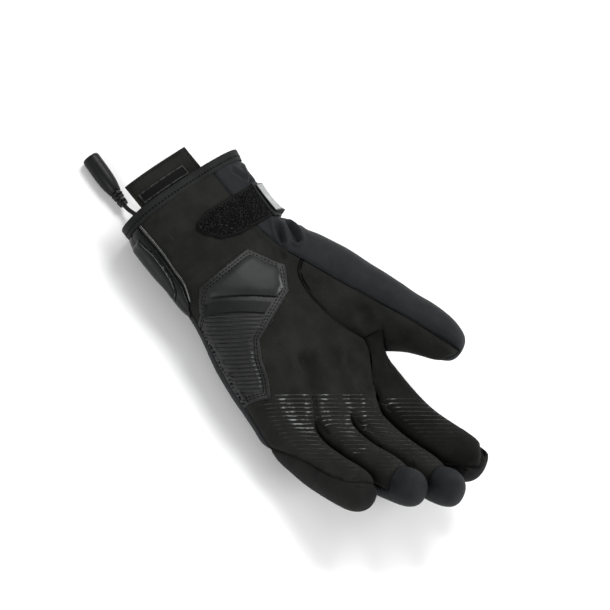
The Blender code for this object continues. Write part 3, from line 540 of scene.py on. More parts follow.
def smoothLine(points, steps):
    # a smooth curve through given points
    ends = [points[0] * 2 - points[1]] + list(points) + [points[-1] * 2 - points[-2]]
    line = []
    for k in range(1, len(ends) - 2):
        a, b, c, d = ends[k - 1:k + 3]
        for step in range(steps):
            t = step / steps
            line.append(0.5 * (2 * b + (c - a) * t + (2 * a - 5 * b + 4 * c - d) * t * t
                               + (3 * b - a - 3 * c + d) * t ** 3))
    line.append(points[-1])
    return line


def newCurve(name, radius, sides, capped=False):
    curve = bpy.data.curves.new(name, "CURVE")
    curve.dimensions = "3D"
    curve.bevel_depth = radius
    curve.bevel_resolution = sides
    curve.use_fill_caps = capped
    return curve


def addSpline(curve, line):
    spline = curve.splines.new("POLY")
    spline.points.add(len(line) - 1)
    for target, point in zip(spline.points, line):
        target.co = (*point, 1.0)
    return spline


def meshOfCurve(curve, material):
    # the round bars that a curve makes, as one mesh
    holder = addToScene(curve.name + "_line", curve)
    graph = bpy.context.evaluated_depsgraph_get()
    mesh = bpy.data.meshes.new_from_object(holder.evaluated_get(graph))
    bpy.data.objects.remove(holder)
    mesh.materials.clear()
    mesh.materials.append(materials[material])
    mesh.shade_smooth()
    return mesh


def addTube(name, lines, radius, material):
    # thin round bars along lines of points
    curve = newCurve(name, radius, 1)
    for line in lines:
        addSpline(curve, line)
    mesh = meshOfCurve(curve, material)
    markOpen(mesh)
    return placeMesh(mesh, name)


# cloth panels

panels = {
    # node: material, slot
    "palm_panel": ("knit", "knit"),
    "back_panel": ("backCloth", "back"),
    "thumb_palm": ("knit", "knit"),
    "thumb_back": ("softshell", "softshell"),
    "index_palm": ("shadeKnit", "knit"),
    "little_finger_back": ("tipCloth", "tips"),
    "ring_finger_back": ("softshell", "softshell"),
    "middle_finger_back": ("softshell", "softshell"),
    "index_finger_back": ("tipCloth", "tips"),
}
padding = {
    "levels": 3,
    "sharp": 0.9,
    "rimCrease": 0.75,
    "rimStep": 0.0006,
    "foldFade": 0.004,
    "puff": 0.0011,
    "puffReach": 0.0050,
    "groove": 0.0007,
    "grooveReach": 0.0011,
    "evenTurns": 4,
    "evenBend": 1.2,
    "cornerReach": 0.0015,
    "unevenness": 0.00035,
    "unevenScale": 70.0,
}
folds = [
    # start, end, half width, depth (all in millimetres, in the frame)
    ((-24, -71, 46), (-16, -57, 47), 2.0, 3.3),
    ((-31, -65, 43), (-25, -52, 48), 2.0, 3.3),
    ((-36, -66, 36), (-31, -52, 42), 2.2, 2.8),
    ((-13, -57, 48), (-9, -48, 48), 1.8, 1.0),
    ((-34, -110, 36), (-28, -99, 42), 2.2, 3.4),
    ((-38, -108, 28), (-33, -97, 36), 2.2, 1.8),
    ((-22, -112, 47), (-27, -103, 44), 2.0, 1.4),
    ((16, -6, 48), (25, 13, 46), 6.0, 2.0),
    ((25, 13, 46), (32, 30, 43), 5.0, 2.2),
    ((6, 22, 45), (17, 46, 41), 4.5, 1.8),
    ((-25, 10, 54), (-25, 24, 48), 4.0, 1.8),
    ((-11, 24, 45), (-18, 38, 40), 4.0, 1.2),
    ((-2, 30, 43), (-2, 52, 40), 4.0, 1.4),
    ((-40, -20, 40), (-30, -8, 52), 5.0, 0.6),
    ((-52, 5, 52), (-44, 20, 58), 5.0, 0.7),
    ((30, -95, 48), (38, -80, 46), 5.0, 0.6),
    ((0, -48, 48), (18, -52, 47), 4.0, 0.5),
    ((34, 35, 42), (39, 46, 37), 1.5, 1.6),
]


def nearestHollow(points):
    # for each point the nearest place inside the stated hollows of the glove
    best = np.full(len(points), 1e9)
    place = np.zeros_like(points)
    for opening in hollows:
        low, high = np.array(opening["box_m"][0]), np.array(opening["box_m"][1])
        inside = np.clip(points, low, high)
        far = np.linalg.norm(points - inside, axis=1)
        closer = far < best
        best[closer] = far[closer]
        place[closer] = inside[closer]
    return place


def readArrays(mesh):
    points = np.zeros(len(mesh.vertices) * 3)
    mesh.vertices.foreach_get("co", points)
    normals = np.zeros(len(mesh.vertices) * 3)
    mesh.vertex_normals.foreach_get("vector", normals)
    return points.reshape(-1, 3), normals.reshape(-1, 3)


def outerShare(points, normals):
    # 1 on the glove's outside, 0 on the inside of its hollow
    away = points - nearestHollow(points)
    away /= np.maximum(np.linalg.norm(away, axis=1, keepdims=True), 1e-9)
    facing = (away * normals).sum(axis=1)
    return np.clip(facing / 0.3, 0.0, 1.0)


def foldDepth(points):
    total = np.zeros(len(points))
    for start, end, width, depth in folds:
        a = np.array(start) / 1000
        b = np.array(end) / 1000
        along = np.clip(((points - a) @ (b - a)) / ((b - a) @ (b - a)), 0, 1)
        far = np.linalg.norm(points - a - along[:, None] * (b - a), axis=1) * 1000 / width
        total += depth / 1000 * (0.45 * np.exp(-(far - 1.7) ** 2) - np.exp(-far ** 2))
    return total


def rimBends(bm):
    # each place along a panel's outer rim with its two neighbours and the bend there
    middles = np.array([face.calc_center_median() for face in bm.faces])
    outer = outerShare(middles, np.array([face.normal for face in bm.faces]))
    rims = {}
    for edge in sharpEdges(bm, padding["sharp"]):
        for vert in edge.verts:
            rims.setdefault(vert, []).append(edge.other_vert(vert))
    found = []
    for vert, others in rims.items():
        if max(outer[face.index] for face in vert.link_faces) < 1.0:
            continue
        pairs = [(a, b) for k, a in enumerate(others) for b in others[k + 1:]]
        if pairs:
            bends = [(vert.co - a.co).angle(b.co - vert.co, 0.0) for a, b in pairs]
            best = bends.index(min(bends))
            found.append((vert, *pairs[best], bends[best]))
    return found


def seamCorners():
    corners = []
    for node in panels:
        bm = readNode(node)
        corners += [vert.co.copy() for vert, a, b, bend in rimBends(bm) if bend >= padding["evenBend"]]
        bm.free()
    return pointTree(corners)


cornerTree = seamCorners()


def evenSeams(bm):
    # rounds the bends of a panel's rim, but not where any panel has a corner
    rims = [item[:3] for item in rimBends(bm) if cornerTree.find(item[0].co)[2] > padding["cornerReach"]]
    for turn in range(padding["evenTurns"]):
        moved = [vert.co.lerp((a.co + b.co) / 2, 0.5) for vert, a, b in rims]
        for (vert, a, b), place in zip(rims, moved):
            vert.co = place


def makePanel(node, material):
    bm = readNode(node)
    evenSeams(bm)
    bmesh.ops.join_triangles(bm, faces=bm.faces, angle_face_threshold=0.8, angle_shape_threshold=1.2)
    rim = creaseEdges(bm, padding["sharp"], padding["rimCrease"])
    seams = pointTree(alongEdges(rim, padding["rimStep"]))
    piece = addPiece(bm, node + "_cloth", material, [node])
    subdivide(piece, padding["levels"])
    points, normals = readArrays(piece.data)
    outer = outerShare(points, normals)
    far = np.array([seams.find(p)[2] for p in points])
    uneven = np.array([noise.noise(Vector(p) * padding["unevenScale"]) for p in points])
    clearOfShadeAndRimLine = 1 - np.exp(-(far / padding["grooveReach"]) ** 2)
    lift = padding["puff"] * (1 - np.exp(-far / padding["puffReach"])) - padding["groove"] * (1 - clearOfShadeAndRimLine)
    lift += padding["unevenness"] * uneven * clearOfShadeAndRimLine
    lift += foldDepth(points) * np.minimum(1, far / padding["foldFade"])
    points += normals * (lift * outer)[:, None]
    points[:, 2] = np.maximum(points[:, 2], 0.0)
    piece.data.vertices.foreach_set("co", points.ravel())
    # the seams' grooves get painted shade through this share
    markOpen(piece.data, np.where(outer > 0.5, clearOfShadeAndRimLine, 1.0))
    piece.data.update()
    return piece


cloth = {}
for node, (material, slot) in panels.items():
    cloth[node] = makePanel(node, material)
    print("panel", node, len(cloth[node].data.polygons), "faces")


seamShadeCord = {"radius": 0.0006, "depth": 0.0016, "around": 0.0024, "below": 0.0007}


def makeSeamShadeCord():
    # a near-black cord sunk at the bottom of each seam: painted shade in the seam's groove
    skin = []
    for piece in cloth.values():
        points, normals = readArrays(piece.data)
        seen = outerShare(points, normals) > 0.5
        skin += list(zip(points[seen], normals[seen]))
    near = pointTree([Vector(point) for point, normal in skin])

    def sunkIn(place, inward):
        # as deep as the cord asks for, and below the cloth round about
        moved = place - inward * seamShadeCord["depth"]
        heights = [(found - moved).dot(inward) for found, k, far in near.find_range(place, seamShadeCord["around"])
                   if skin[k][1] @ np.array(inward) > 0.5]
        if not heights:
            return moved
        return moved + inward * min(0.0, sum(heights) / len(heights) - seamShadeCord["below"] - seamShadeCord["radius"])

    lines = []
    for node in panels:
        bm = readNode(node)
        evenSeams(bm)
        bm.normal_update()
        places = np.array([vert.co for vert in bm.verts])
        normals = np.array([vert.normal for vert in bm.verts])
        outer = outerShare(places, normals)
        for edge in sharpEdges(bm, padding["sharp"]):
            a, b = edge.verts
            if min(outer[a.index], outer[b.index]) > 0.5:
                inward = max(edge.link_faces, key=outerFacing).normal
                lines.append([sunkIn(a.co, inward), sunkIn(b.co, inward)])
        bm.free()
    addTube("seam_shade_cord", lines, seamShadeCord["radius"], "darkThread")


def outerFacing(face):
    # how far a face looks away from the hollows
    middle = np.array([face.calc_center_median()])
    away = Vector((middle - nearestHollow(middle))[0])
    return away.normalized().dot(face.normal)


makeSeamShadeCord()
gloveSkin = surfaceOf(cloth.values())
palmSkin = surfaceOf([cloth["palm_panel"], cloth["index_palm"], cloth["thumb_palm"]])


# pieces sewn onto the cloth

def skinOf(node, towards):
    # only the outer face of a sewn-on solid
    bm = readNode(node)
    hidden = [face for face in bm.faces if face.normal.dot(towards) < 0.03]
    bmesh.ops.delete(bm, geom=hidden, context="FACES")
    return bm


def cutGrid(bm, pitch, *directions):
    # cuts the skin every pitch along each direction
    for direction in directions:
        marks = [vert.co.dot(direction) for vert in bm.verts]
        count = int((max(marks) - min(marks)) / pitch)
        for k in range(1, count + 1):
            at = direction * (min(marks) + k * pitch)
            bmesh.ops.bisect_plane(bm, geom=bm.verts[:] + bm.edges[:] + bm.faces[:], dist=1e-7,
                                   plane_co=at, plane_no=direction)


def borderLoop(bm):
    # the open border's vertices in order
    rim = [edge for edge in bm.edges if len(edge.link_faces) == 1]
    start = rim[0].verts[0]
    loop = [start]
    edge, vert = rim[0], rim[0].verts[1]
    while vert is not start:
        loop.append(vert)
        edge = next(e for e in vert.link_edges if len(e.link_faces) == 1 and e is not edge)
        vert = edge.other_vert(vert)
    return [v.co.copy() for v in loop]


def borderTree(border):
    return pointTree(spaced(border, sewing["borderStep"], closed=True))


def startSkin(node, towards, pitch, *directions):
    # a solid's outer face cut into small squares, its border, and a tree of that border
    bm = skinOf(node, towards)
    border = borderLoop(bm)
    cutGrid(bm, pitch, *directions)
    return bm, border, borderTree(border)


def insetLine(border, distance, surface, towards, pitch, ground=None):
    # an even line inside a border, laid on a surface; on a curved ground each place has its own facing
    def facing(point):
        return ground.find_nearest(point)[1] if ground else towards

    border = spaced(border, sewing["borderStep"], closed=True)
    tree = pointTree(border)
    count = len(border)
    middle = sum(border, Vector()) / count
    line = []
    for k, point in enumerate(border):
        along = (border[(k + 2) % count] - border[k - 2]).normalized()
        inward = facing(point).cross(along).normalized()
        if inward.dot(middle - point) < 0:
            inward = -inward
        moved = point + inward * distance
        if tree.find(moved)[2] > distance * 0.93:
            line.append(moved)
    line = spaced(line, pitch, closed=True)
    return [landing(surface, point, facing(point)) for point in line]


def laySkin(bm, surface, towards, liftAt):
    # puts each vertex above the cloth by the lift that its place asks for, on steep parts straight out
    bm.normal_update()
    for vert in bm.verts:
        share = clamp((vert.normal.dot(towards) - 0.3) / 0.3)
        found = landing(surface, vert.co, vert.normal.lerp(towards, share).normalized())
        if found is None or (found[0] - vert.co).length > sewing["farthest"]:
            found = landing(surface, vert.co, towards)
        if found is None:
            continue
        hit, normal = found
        vert.co = hit + normal * liftAt(vert.co)


def clearOf(bm, surface, towards, gap):
    # lifts whatever has sunk into a surface
    for vert in bm.verts:
        found = landing(surface, vert.co, towards)
        if found is not None:
            vert.co += towards * max(0.0, (found[0] - vert.co).dot(towards) + gap)


def relax(bm, turns):
    # evens out a skin inside its border
    inner = [vert for vert in bm.verts if not vert.is_boundary]
    for turn in range(turns):
        bmesh.ops.smooth_vert(bm, verts=inner, factor=0.5, use_axis_x=True, use_axis_y=True, use_axis_z=True)


sewing = {
    "gap": 0.0003,
    "farthest": 0.0050,
    "borderStep": 0.0008,
    "bevel": 0.00015,
    "stitchPitch": 0.0026,
    "stitchLength": 0.0020,
    "stitchWidth": 0.00042,
    "stitchHeight": 0.00030,
}


def sewStitches(name, lines, material="darkThread", thick=1.0):
    # one small rounded stitch for each step of each line of (place, normal)
    bm = bmesh.new()
    for line in lines:
        line = [item for item in line if item is not None]
        for k in range(len(line) - 1):
            (a, normalA), (b, normalB) = line[k], line[k + 1]
            along = b - a
            if along.length > 2 * sewing["stitchPitch"] or along.length < 1e-5:
                continue
            along = along.normalized()
            normal = (normalA + normalB).normalized()
            across = normal.cross(along).normalized()
            normal = along.cross(across)
            turn = Matrix((along, across, normal)).transposed().to_4x4()
            size = Matrix.Diagonal((sewing["stitchLength"] / 2, thick * sewing["stitchWidth"] / 2,
                                    sewing["stitchHeight"], 1))
            place = Matrix.Translation((a + b) / 2)
            bmesh.ops.create_uvsphere(bm, u_segments=6, v_segments=4, radius=1.0,
                                      matrix=place @ turn @ size @ Matrix.Rotation(math.pi / 2, 4, "Y"))
    return addPiece(bm, name, material)


def thicken(piece, thickness, bevel):
    wall = piece.modifiers.new("wall", "SOLIDIFY")
    wall.thickness = thickness
    wall.offset = -1
    if bevel:
        edge = piece.modifiers.new("edge", "BEVEL")
        edge.width = bevel
        edge.segments = 2
        edge.limit_method = "ANGLE"
        edge.angle_limit = math.radians(60)
    bakeModifiers(piece)
    if "clearOfShadeAndRimLine" not in piece.data.attributes:
        markOpen(piece.data)


print("palm pieces")
ribDirection = Vector((0.4642, 0.7634, -0.4487))
ribForward = Vector((0.5195, 0.8545, 0.0))
ribRun = Vector((-0.8545, 0.5195, 0.0))
patch = {
    "thickness": 0.0008,
    "border": 0.0048,
    "borderSlope": 0.0008,
    "stitchedIn": 0.0002,
    "roll": 0.0005,
    "rollWidth": 0.0006,
    "bandToRibs": 0.0044,
    "ribPitch": 0.00256,
    "ribHeight": 0.0007,
    "ribGroove": 0.12,
    # the next four set painted shade: in the rib grooves, on the stitched border and on the strip beside the
    # band
    "grooveShade": 0.75,
    "borderOpen": 0.3,
    "bandZone": 0.0135,
    "bandOpen": 0.0,
    "stepAcross": 0.00030,
    "stepAlong": 0.0030,
    "stitchInsets": (0.0024, 0.0040),
}
pad = {"thickness": 0.0018, "crown": 0.0007, "edge": 0.0030, "step": 0.0012, "sunk": 0.0004,
       "dome": 0.010,
       "relax": 24, "wall": 0.0005, "highlightInset": 0.0016, "highlightWidth": 0.0009, "highlightReach": 0.0030}
padHighlight = ((3, -37, 50), (11, -29, 50))  # in millimetres, where a highlight is painted along the pad's edge
band = {"thickness": 0.0006, "step": 0.0012}


def makePatch():
    bm = skinOf("palm_patch", up)
    border = borderLoop(bm)
    edge = borderTree(border)
    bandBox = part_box("palm_band")
    bandMiddle = (Vector(bandBox[0]) + Vector(bandBox[1])) / 2
    ribStart = bandMiddle.dot(ribDirection) + patch["bandToRibs"]
    cutGrid(bm, patch["stepAcross"], ribDirection)
    cutGrid(bm, patch["stepAlong"], ribRun)

    def insideShare(place):
        # nought on the border and 1 inside it
        return clamp((edge.find(place)[2] - patch["border"]) / patch["borderSlope"])

    def grooveAt(place):
        # 1 in the middle of the groove between two ribs, nought away from the ribs
        along = place.dot(ribDirection) - ribStart
        if along < 0:
            return 0.0
        share = (along / patch["ribPitch"]) % 1.0
        return insideShare(place) * math.exp(-((share - 0.5) / patch["ribGroove"]) ** 2)

    def liftAt(place):
        ribs = patch["ribHeight"] if place.dot(ribDirection) > ribStart else 0.0
        roll = patch["roll"] * math.exp(-(edge.find(place)[2] / patch["rollWidth"]) ** 2)
        base = sewing["gap"] + patch["thickness"]
        return base + ribs * (insideShare(place) - grooveAt(place)) - roll

    # painted shade: darker in the grooves between the ribs, on the stitched border and on the strip beside
    # the band
    layer = bm.verts.layers.float.new("clearOfShadeAndRimLine")
    for vert in bm.verts:
        along = vert.co.dot(ribDirection) - ribStart
        vert[layer] = 1.0 - patch["grooveShade"] * grooveAt(vert.co)
        if edge.find(vert.co)[2] < patch["border"] - patch["stitchedIn"]:
            vert[layer] = min(vert[layer], patch["borderOpen"])
        elif -patch["bandZone"] < along < 0:
            vert[layer] = patch["bandOpen"]
    laySkin(bm, gloveSkin, up, liftAt)
    piece = addPiece(bm, "palm_patch_cloth", "coated", ["palm_patch"])
    thicken(piece, patch["thickness"], 0)
    return piece, border, ribStart


patchPiece, patchBorder, ribStart = makePatch()
patchSkin = surfaceOf([patchPiece])


def makePad():
    bm, border, edge = startSkin("palm_pad", up, pad["step"], littleSide, forward)

    def liftAt(place):
        far = edge.find(place)[2]
        rise = 1 - (1 - min(far / pad["edge"], 1.0)) ** 2
        dome = 1 - math.exp(-far / pad["dome"])
        return sewing["gap"] + pad["sunk"] + pad["thickness"] * rise + pad["crown"] * dome

    laySkin(bm, patchSkin, up, liftAt)
    relax(bm, pad["relax"])
    # painted highlight along part of the pad's edge, through the lit attribute
    layer = bm.verts.layers.float.new("lit")
    a, b = (Vector(place) / 1000 for place in padHighlight)
    for vert in bm.verts:
        share = math.exp(-((edge.find(vert.co)[2] - pad["highlightInset"]) / pad["highlightWidth"]) ** 2)
        vert[layer] = share * math.exp(-(farFrom(vert.co, a, b) / pad["highlightReach"]) ** 4)
    piece = addPiece(bm, "palm_pad_cushion", "cushion", ["palm_pad"])
    thicken(piece, pad["wall"], 0)


def makeBand():
    bm = startSkin("palm_band", up, band["step"], littleSide, forward)[0]
    laySkin(bm, patchSkin, up, lambda place: sewing["gap"] + band["thickness"])
    piece = addPiece(bm, "palm_band_print", "bandPrint", ["palm_band"])
    thicken(piece, band["thickness"], sewing["bevel"])


makePad()
makeBand()
lines = [insetLine(patchBorder, d, patchSkin, up, sewing["stitchPitch"], gloveSkin)
         for d in patch["stitchInsets"]]
sewStitches("palm_patch_stitches", lines, thick=1.5)


ribEndHighlights = {"first": 9, "last": 22, "start": -0.025, "step": 0.0004, "steps": 140, "width": 0.0024,
           "depth": 0.0011, "height": 0.0005, "fromEdge": 0.0056}


def makeRibEndHighlights():
    # pale glossy beads at the ends of the ribs, beside the stitches: painted highlights where the rib ends
    # catch the light
    edge = borderTree(patchBorder)
    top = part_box("palm_patch")[1][2]
    bm = bmesh.new()
    for number in range(ribEndHighlights["first"], ribEndHighlights["last"]):
        mark = ribStart + number * patch["ribPitch"]
        for k in range(ribEndHighlights["steps"]):
            found = landOnMark(patchSkin, mark, ribEndHighlights["start"] - ribEndHighlights["step"] * k, top)
            if found is not None and edge.find(found[0])[2] > ribEndHighlights["fromEdge"]:
                hit, normal = found
                across = normal.cross(ribRun).normalized()
                turn = Matrix((across.cross(normal), across, normal)).transposed().to_4x4()
                size = Matrix.Diagonal((ribEndHighlights["width"] / 2, ribEndHighlights["depth"] / 2, ribEndHighlights["height"], 1))
                bmesh.ops.create_uvsphere(bm, u_segments=10, v_segments=6, radius=1.0,
                                          matrix=Matrix.Translation(hit) @ turn @ size)
                break
    addPiece(bm, "rib_end_highlights", "bead")


print("grip lines")
grip = {
    "pitch": 0.00256,
    "width": 0.0012,
    "sunk": 0.00018,
    "steepest": 0.42,
    "step": 0.0009,
    "fromSide": -0.075,
    "toSide": 0.085,
    "height": 0.05,
    "jump": 0.0022,
    "offPalm": 0.0004,
    "fewest": 6,
    "margin": 0.0022,
    "fade": 0.030,
    "flat": 0.50,
    "start": 0.0200,
    "end": 0.1000,
}
gripShine = [
    # where the print catches the light, a highlight is painted on it: start and end across and along, radius,
    # all in millimetres
    ((51, 22), (53, 34), 3.6),
    ((54, 36), (52, 44), 3.0),
    ((51, 44), (47, 52), 3.6),
    ((38, 30), (46, 48), 1.5),
    ((28, 37), (36, 54), 2.6),
    ((14, 46), (17, 55), 2.0),
    ((20, 58), (26, 66), 3.2),
    ((5, 51), (16, 70), 1.1),
    ((-12, 64), (-11, 69), 2.6),
    ((31, 79), (34, 82), 3.2),
]
gripSpans = [
    # low and high x, where the lines start and end along the fingers, share of the full width
    (0.056, 0.075, 0.0455, 0.0950, 1.0),
    (0.036, 0.056, 0.0455, 0.1040, 1.0),
    (0.014, 0.036, 0.0455, 0.1080, 0.9),
    (-0.013, 0.014, 0.0455, 0.1040, 0.8),
    (-0.045, -0.013, 0.0460, 0.0880, 0.62),
]


def gripLeft(place):
    # how far the printed lines still run on beyond a place, below nought where there are none; their width
    mark = place.dot(ribForward)
    for lowX, highX, start, end, width in gripSpans:
        if lowX <= place.x < highX and mark >= start:
            return end - mark, width
    return -1.0, 0.0


# the share of painted highlight at a place on the grip lines
def shineAt(place):
    best = 0.0
    flat = Vector((place.x, place.y)) * 1000
    for start, end, radius in gripShine:
        best = max(best, math.exp(-(farFrom(flat, Vector(start), Vector(end)) / radius) ** 4))
    uneven = noise.noise(Vector((place.x * 330, place.dot(ribDirection) * 700, 0)))
    return best * clamp(0.55 + 2.6 * uneven)


def canPrint(found, run, patchEdge):
    # level enough, no jump from the last place, on the palm's own cloth and clear of the patch
    if found is None:
        return False
    hit, normal = found
    if normal.z <= grip["steepest"] or gripLeft(hit)[0] <= 0:
        return False
    if run and abs(hit.z - run[-1][0].z) > grip["jump"]:
        return False
    if palmSkin.find_nearest(hit)[3] > grip["offPalm"] or patchEdge.find(hit)[2] < grip["margin"]:
        return False
    return landing(patchSkin, hit, up) is None


def printLine(curve, run):
    # one printed line, thinner at its ends and towards the fingertips
    spline = addSpline(curve, [hit - normal * grip["sunk"] for hit, normal in run])
    for k, (target, (hit, normal)) in enumerate(zip(spline.points, run)):
        ends = min(k, len(run) - 1 - k) / 3
        left, width = gripLeft(hit)
        faded = width * min(1.0, 0.45 + 0.55 * left / grip["fade"])
        target.radius = (0.45 + 0.55 * min(1.0, ends)) * faded


def makeGripLines():
    curve = newCurve("grip_lines", grip["width"] / 2, 1, capped=True)
    patchEdge = borderTree(patchBorder)
    mark = grip["start"]
    while mark < grip["end"]:
        run = []
        step = grip["fromSide"]
        while step < grip["toSide"]:
            found = landOnMark(gloveSkin, mark, step, grip["height"])
            good = canPrint(found, run, patchEdge)
            if good:
                run.append(found)
            if run and (not good or step + grip["step"] >= grip["toSide"]):
                if len(run) >= grip["fewest"]:
                    printLine(curve, run)
                run = []
            step += grip["step"]
        mark += grip["pitch"]
    mesh = meshOfCurve(curve, "gripPrint")
    # painted highlights on the grip lines, set through the lit attribute
    lit = mesh.attributes.new("lit", "FLOAT", "POINT")
    for vert, share in zip(mesh.vertices, lit.data):
        hit, normal, index, far = gloveSkin.find_nearest(vert.co)
        height = (vert.co - hit).dot(normal)
        if height > 0:
            vert.co -= normal * height * (1 - grip["flat"])
        share.value = shineAt(vert.co)
    placeMesh(mesh, "grip_lines")
    print("grip lines", len(mesh.polygons), "faces")


makeGripLines()
makeRibEndHighlights()


print("wrist closure")
loopPatch = {"thickness": 0.0012, "clear": 0.0006, "step": 0.0016, "relax": 12, "stitchInset": 0.0012,
             "roll": 0.0005, "rollWidth": 0.0008}
pile = {"border": 0.0020, "loops": 3400, "width": 0.0012, "height": 0.0009, "strand": 0.00013}


def makeLoopPatch():
    bm, border, edge = startSkin("loop_patch", up, loopPatch["step"], littleSide, forward)

    def liftAt(place):
        roll = loopPatch["roll"] * math.exp(-(edge.find(place)[2] / loopPatch["rollWidth"]) ** 2)
        return sewing["gap"] + loopPatch["thickness"] - roll

    laySkin(bm, gloveSkin, up, liftAt)
    relax(bm, loopPatch["relax"])
    clearOf(bm, gloveSkin, up, loopPatch["clear"])
    piece = addPiece(bm, "loop_patch_cloth", "pile", ["loop_patch"])
    thicken(piece, loopPatch["thickness"], 0)
    skin = surfaceOf([piece])
    stitches = insetLine(border, loopPatch["stitchInset"], skin, up, sewing["stitchPitch"])
    sewStitches("loop_patch_stitches", [stitches], "greyThread")
    return skin, edge


def makePile(skin, edge):
    # small loops of thread, turned and sized at random
    random.seed(7)
    low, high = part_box("loop_patch")
    curve = newCurve("loop_pile", pile["strand"], 0)
    placed = 0
    for attempt in range(30 * pile["loops"]):
        place = Vector((random.uniform(low[0], high[0]), random.uniform(low[1], high[1]), high[2]))
        found = landing(skin, place, up)
        if found is None or edge.find(found[0])[2] < pile["border"]:
            continue
        hit, normal = found
        turn = random.uniform(0, 2 * math.pi)
        along = Vector((math.cos(turn), math.sin(turn), 0))
        side = normal.cross(along).normalized() * random.uniform(-0.6, 0.6)
        width = pile["width"] * random.uniform(0.6, 1.2)
        height = pile["height"] * random.uniform(0.5, 1.2)
        arch = []
        for k in range(5):
            angle = math.pi * k / 4
            rise = height * math.sin(angle)
            arch.append(hit + along * width / 2 * math.cos(angle) + (normal + side) * rise)
        addSpline(curve, arch)
        placed += 1
        if placed == pile["loops"]:
            break
    mesh = meshOfCurve(curve, "loops")
    placeMesh(mesh, "loop_pile")
    print("loop pile", len(mesh.polygons), "faces")


makePile(*makeLoopPatch())
softCopySharp = 0.8


def makeSoftCopy(node, name, material, levels, crease):
    # the CAD piece with its facets smoothed and its edges kept
    bm = readNode(node)
    bmesh.ops.join_triangles(bm, faces=bm.faces, angle_face_threshold=0.6, angle_shape_threshold=1.2)
    creaseEdges(bm, softCopySharp, crease)
    piece = addPiece(bm, name, material, [node])
    subdivide(piece, levels)
    markOpen(piece.data)
    return piece


makeSoftCopy("wrist_strap", "wrist_strap_cloth", "strapCloth", 2, 0.85)
facing = makeSoftCopy("strap_face", "strap_facing", "paleFacing", 3, 0.85)
facingRim = {"width": 0.0011, "sharp": 0.9, "step": 0.0004}
facingFlare = {"out": 0.0048, "height": 0.0310, "reach": 0.0110}


def flareFacing(piece):
    # the facing stands off the strap at the side of the wrist, most of all towards the hand
    low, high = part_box("strap_face")
    for vert in piece.data.vertices:
        along = (vert.co.y - low[1]) / (high[1] - low[1])
        rise = math.exp(-((vert.co.z - facingFlare["height"]) / facingFlare["reach"]) ** 2)
        vert.co.x -= facingFlare["out"] * rise * (0.55 + 0.45 * along)


def darkenRim(piece, node):
    # the facing's edge is bound in a dark line
    bm = readNode(node)
    tree = pointTree(alongEdges(sharpEdges(bm, facingRim["sharp"]), facingRim["step"]))
    bm.free()
    shares = [min(1.0, (tree.find(vert.co)[2] / facingRim["width"]) ** 2) for vert in piece.data.vertices]
    piece.data.attributes["clearOfShadeAndRimLine"].data.foreach_set("value", shares)


darkenRim(facing, "strap_face")
flareFacing(facing)


print("cuff pieces")
bindingSkin = surfaceOf([makeSoftCopy("cuff_binding", "cuff_binding_tape", "tape", 2, 0.80)])
hem = {"stitchFromMouth": 0.0056, "rayStart": 0.12, "rays": 360}


def hemLine(fromMouth):
    # a line round the outside of the binding
    low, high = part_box("cuff_binding")
    centre = Vector(((low[0] + high[0]) / 2, low[1] + fromMouth, (low[2] + high[2]) / 2))
    line = []
    for k in range(hem["rays"]):
        angle = 2 * math.pi * k / hem["rays"]
        out = Vector((math.cos(angle), 0, math.sin(angle)))
        hit, normal, index, far = bindingSkin.ray_cast(centre + out * hem["rayStart"], -out)
        if hit is not None:
            line.append(hit)
    even = spaced(line, sewing["stitchPitch"], closed=True)
    found = []
    for place in even + even[:1]:
        hit, normal, index, far = bindingSkin.find_nearest(place)
        found.append((hit, normal))
    return found


sewStitches("hem_stitches", [hemLine(hem["stitchFromMouth"])], thick=2.2)


flap = {"thickness": 0.0018, "step": 0.0020, "bevel": 0.0005, "stitchInset": 0.0018}
plaque = {"borderStep": 0.0004, "rim": 0.0007, "slope": 0.0003, "recess": 0.00045,
          "thickness": 0.0010, "step": 0.0005}


def makeFlap():
    bm, border, edge = startSkin("pocket_flap", up, flap["step"], littleSide, forward)
    piece = addPiece(bm, "pocket_flap_cloth", "knit", ["pocket_flap"])
    thicken(piece, flap["thickness"], flap["bevel"])
    skin = surfaceOf([piece])
    stitches = insetLine(border, flap["stitchInset"], skin, up, sewing["stitchPitch"])
    sewStitches("pocket_flap_stitches", [stitches])
    return skin


def makePlaque(skin):
    bm = skinOf("flap_label", up)
    edge = pointTree(spaced(borderLoop(bm), plaque["borderStep"], closed=True))
    cutGrid(bm, plaque["step"], littleSide, forward)

    def liftAt(place):
        inside = clamp((edge.find(place)[2] - plaque["rim"]) / plaque["slope"])
        return sewing["gap"] + plaque["thickness"] - plaque["recess"] * inside

    # the rim gets a painted highlight through the lit attribute
    layer = bm.verts.layers.float.new("lit")
    for vert in bm.verts:
        vert[layer] = 1.0 if edge.find(vert.co)[2] < plaque["rim"] else 0.0
    laySkin(bm, skin, up, liftAt)
    piece = addPiece(bm, "flap_label_plaque", "mattRubber", ["flap_label"])
    thicken(piece, plaque["thickness"], sewing["bevel"])


makePlaque(makeFlap())


print("side shield")
shield = {"thickness": 0.0012, "bulge": 0.0006, "step": 0.0012, "edge": 0.0015, "relax": 14, "wall": 0.0006}
leaf = {"thickness": 0.0010, "bulge": 0.0008, "step": 0.0010, "edge": 0.0018, "dome": 0.006,
        "relax": 4, "wall": 0.0005}
bead = {"inset": 0.0007, "pitch": 0.0012, "width": 0.0006, "sunk": 0.00015, "smoothing": 4}


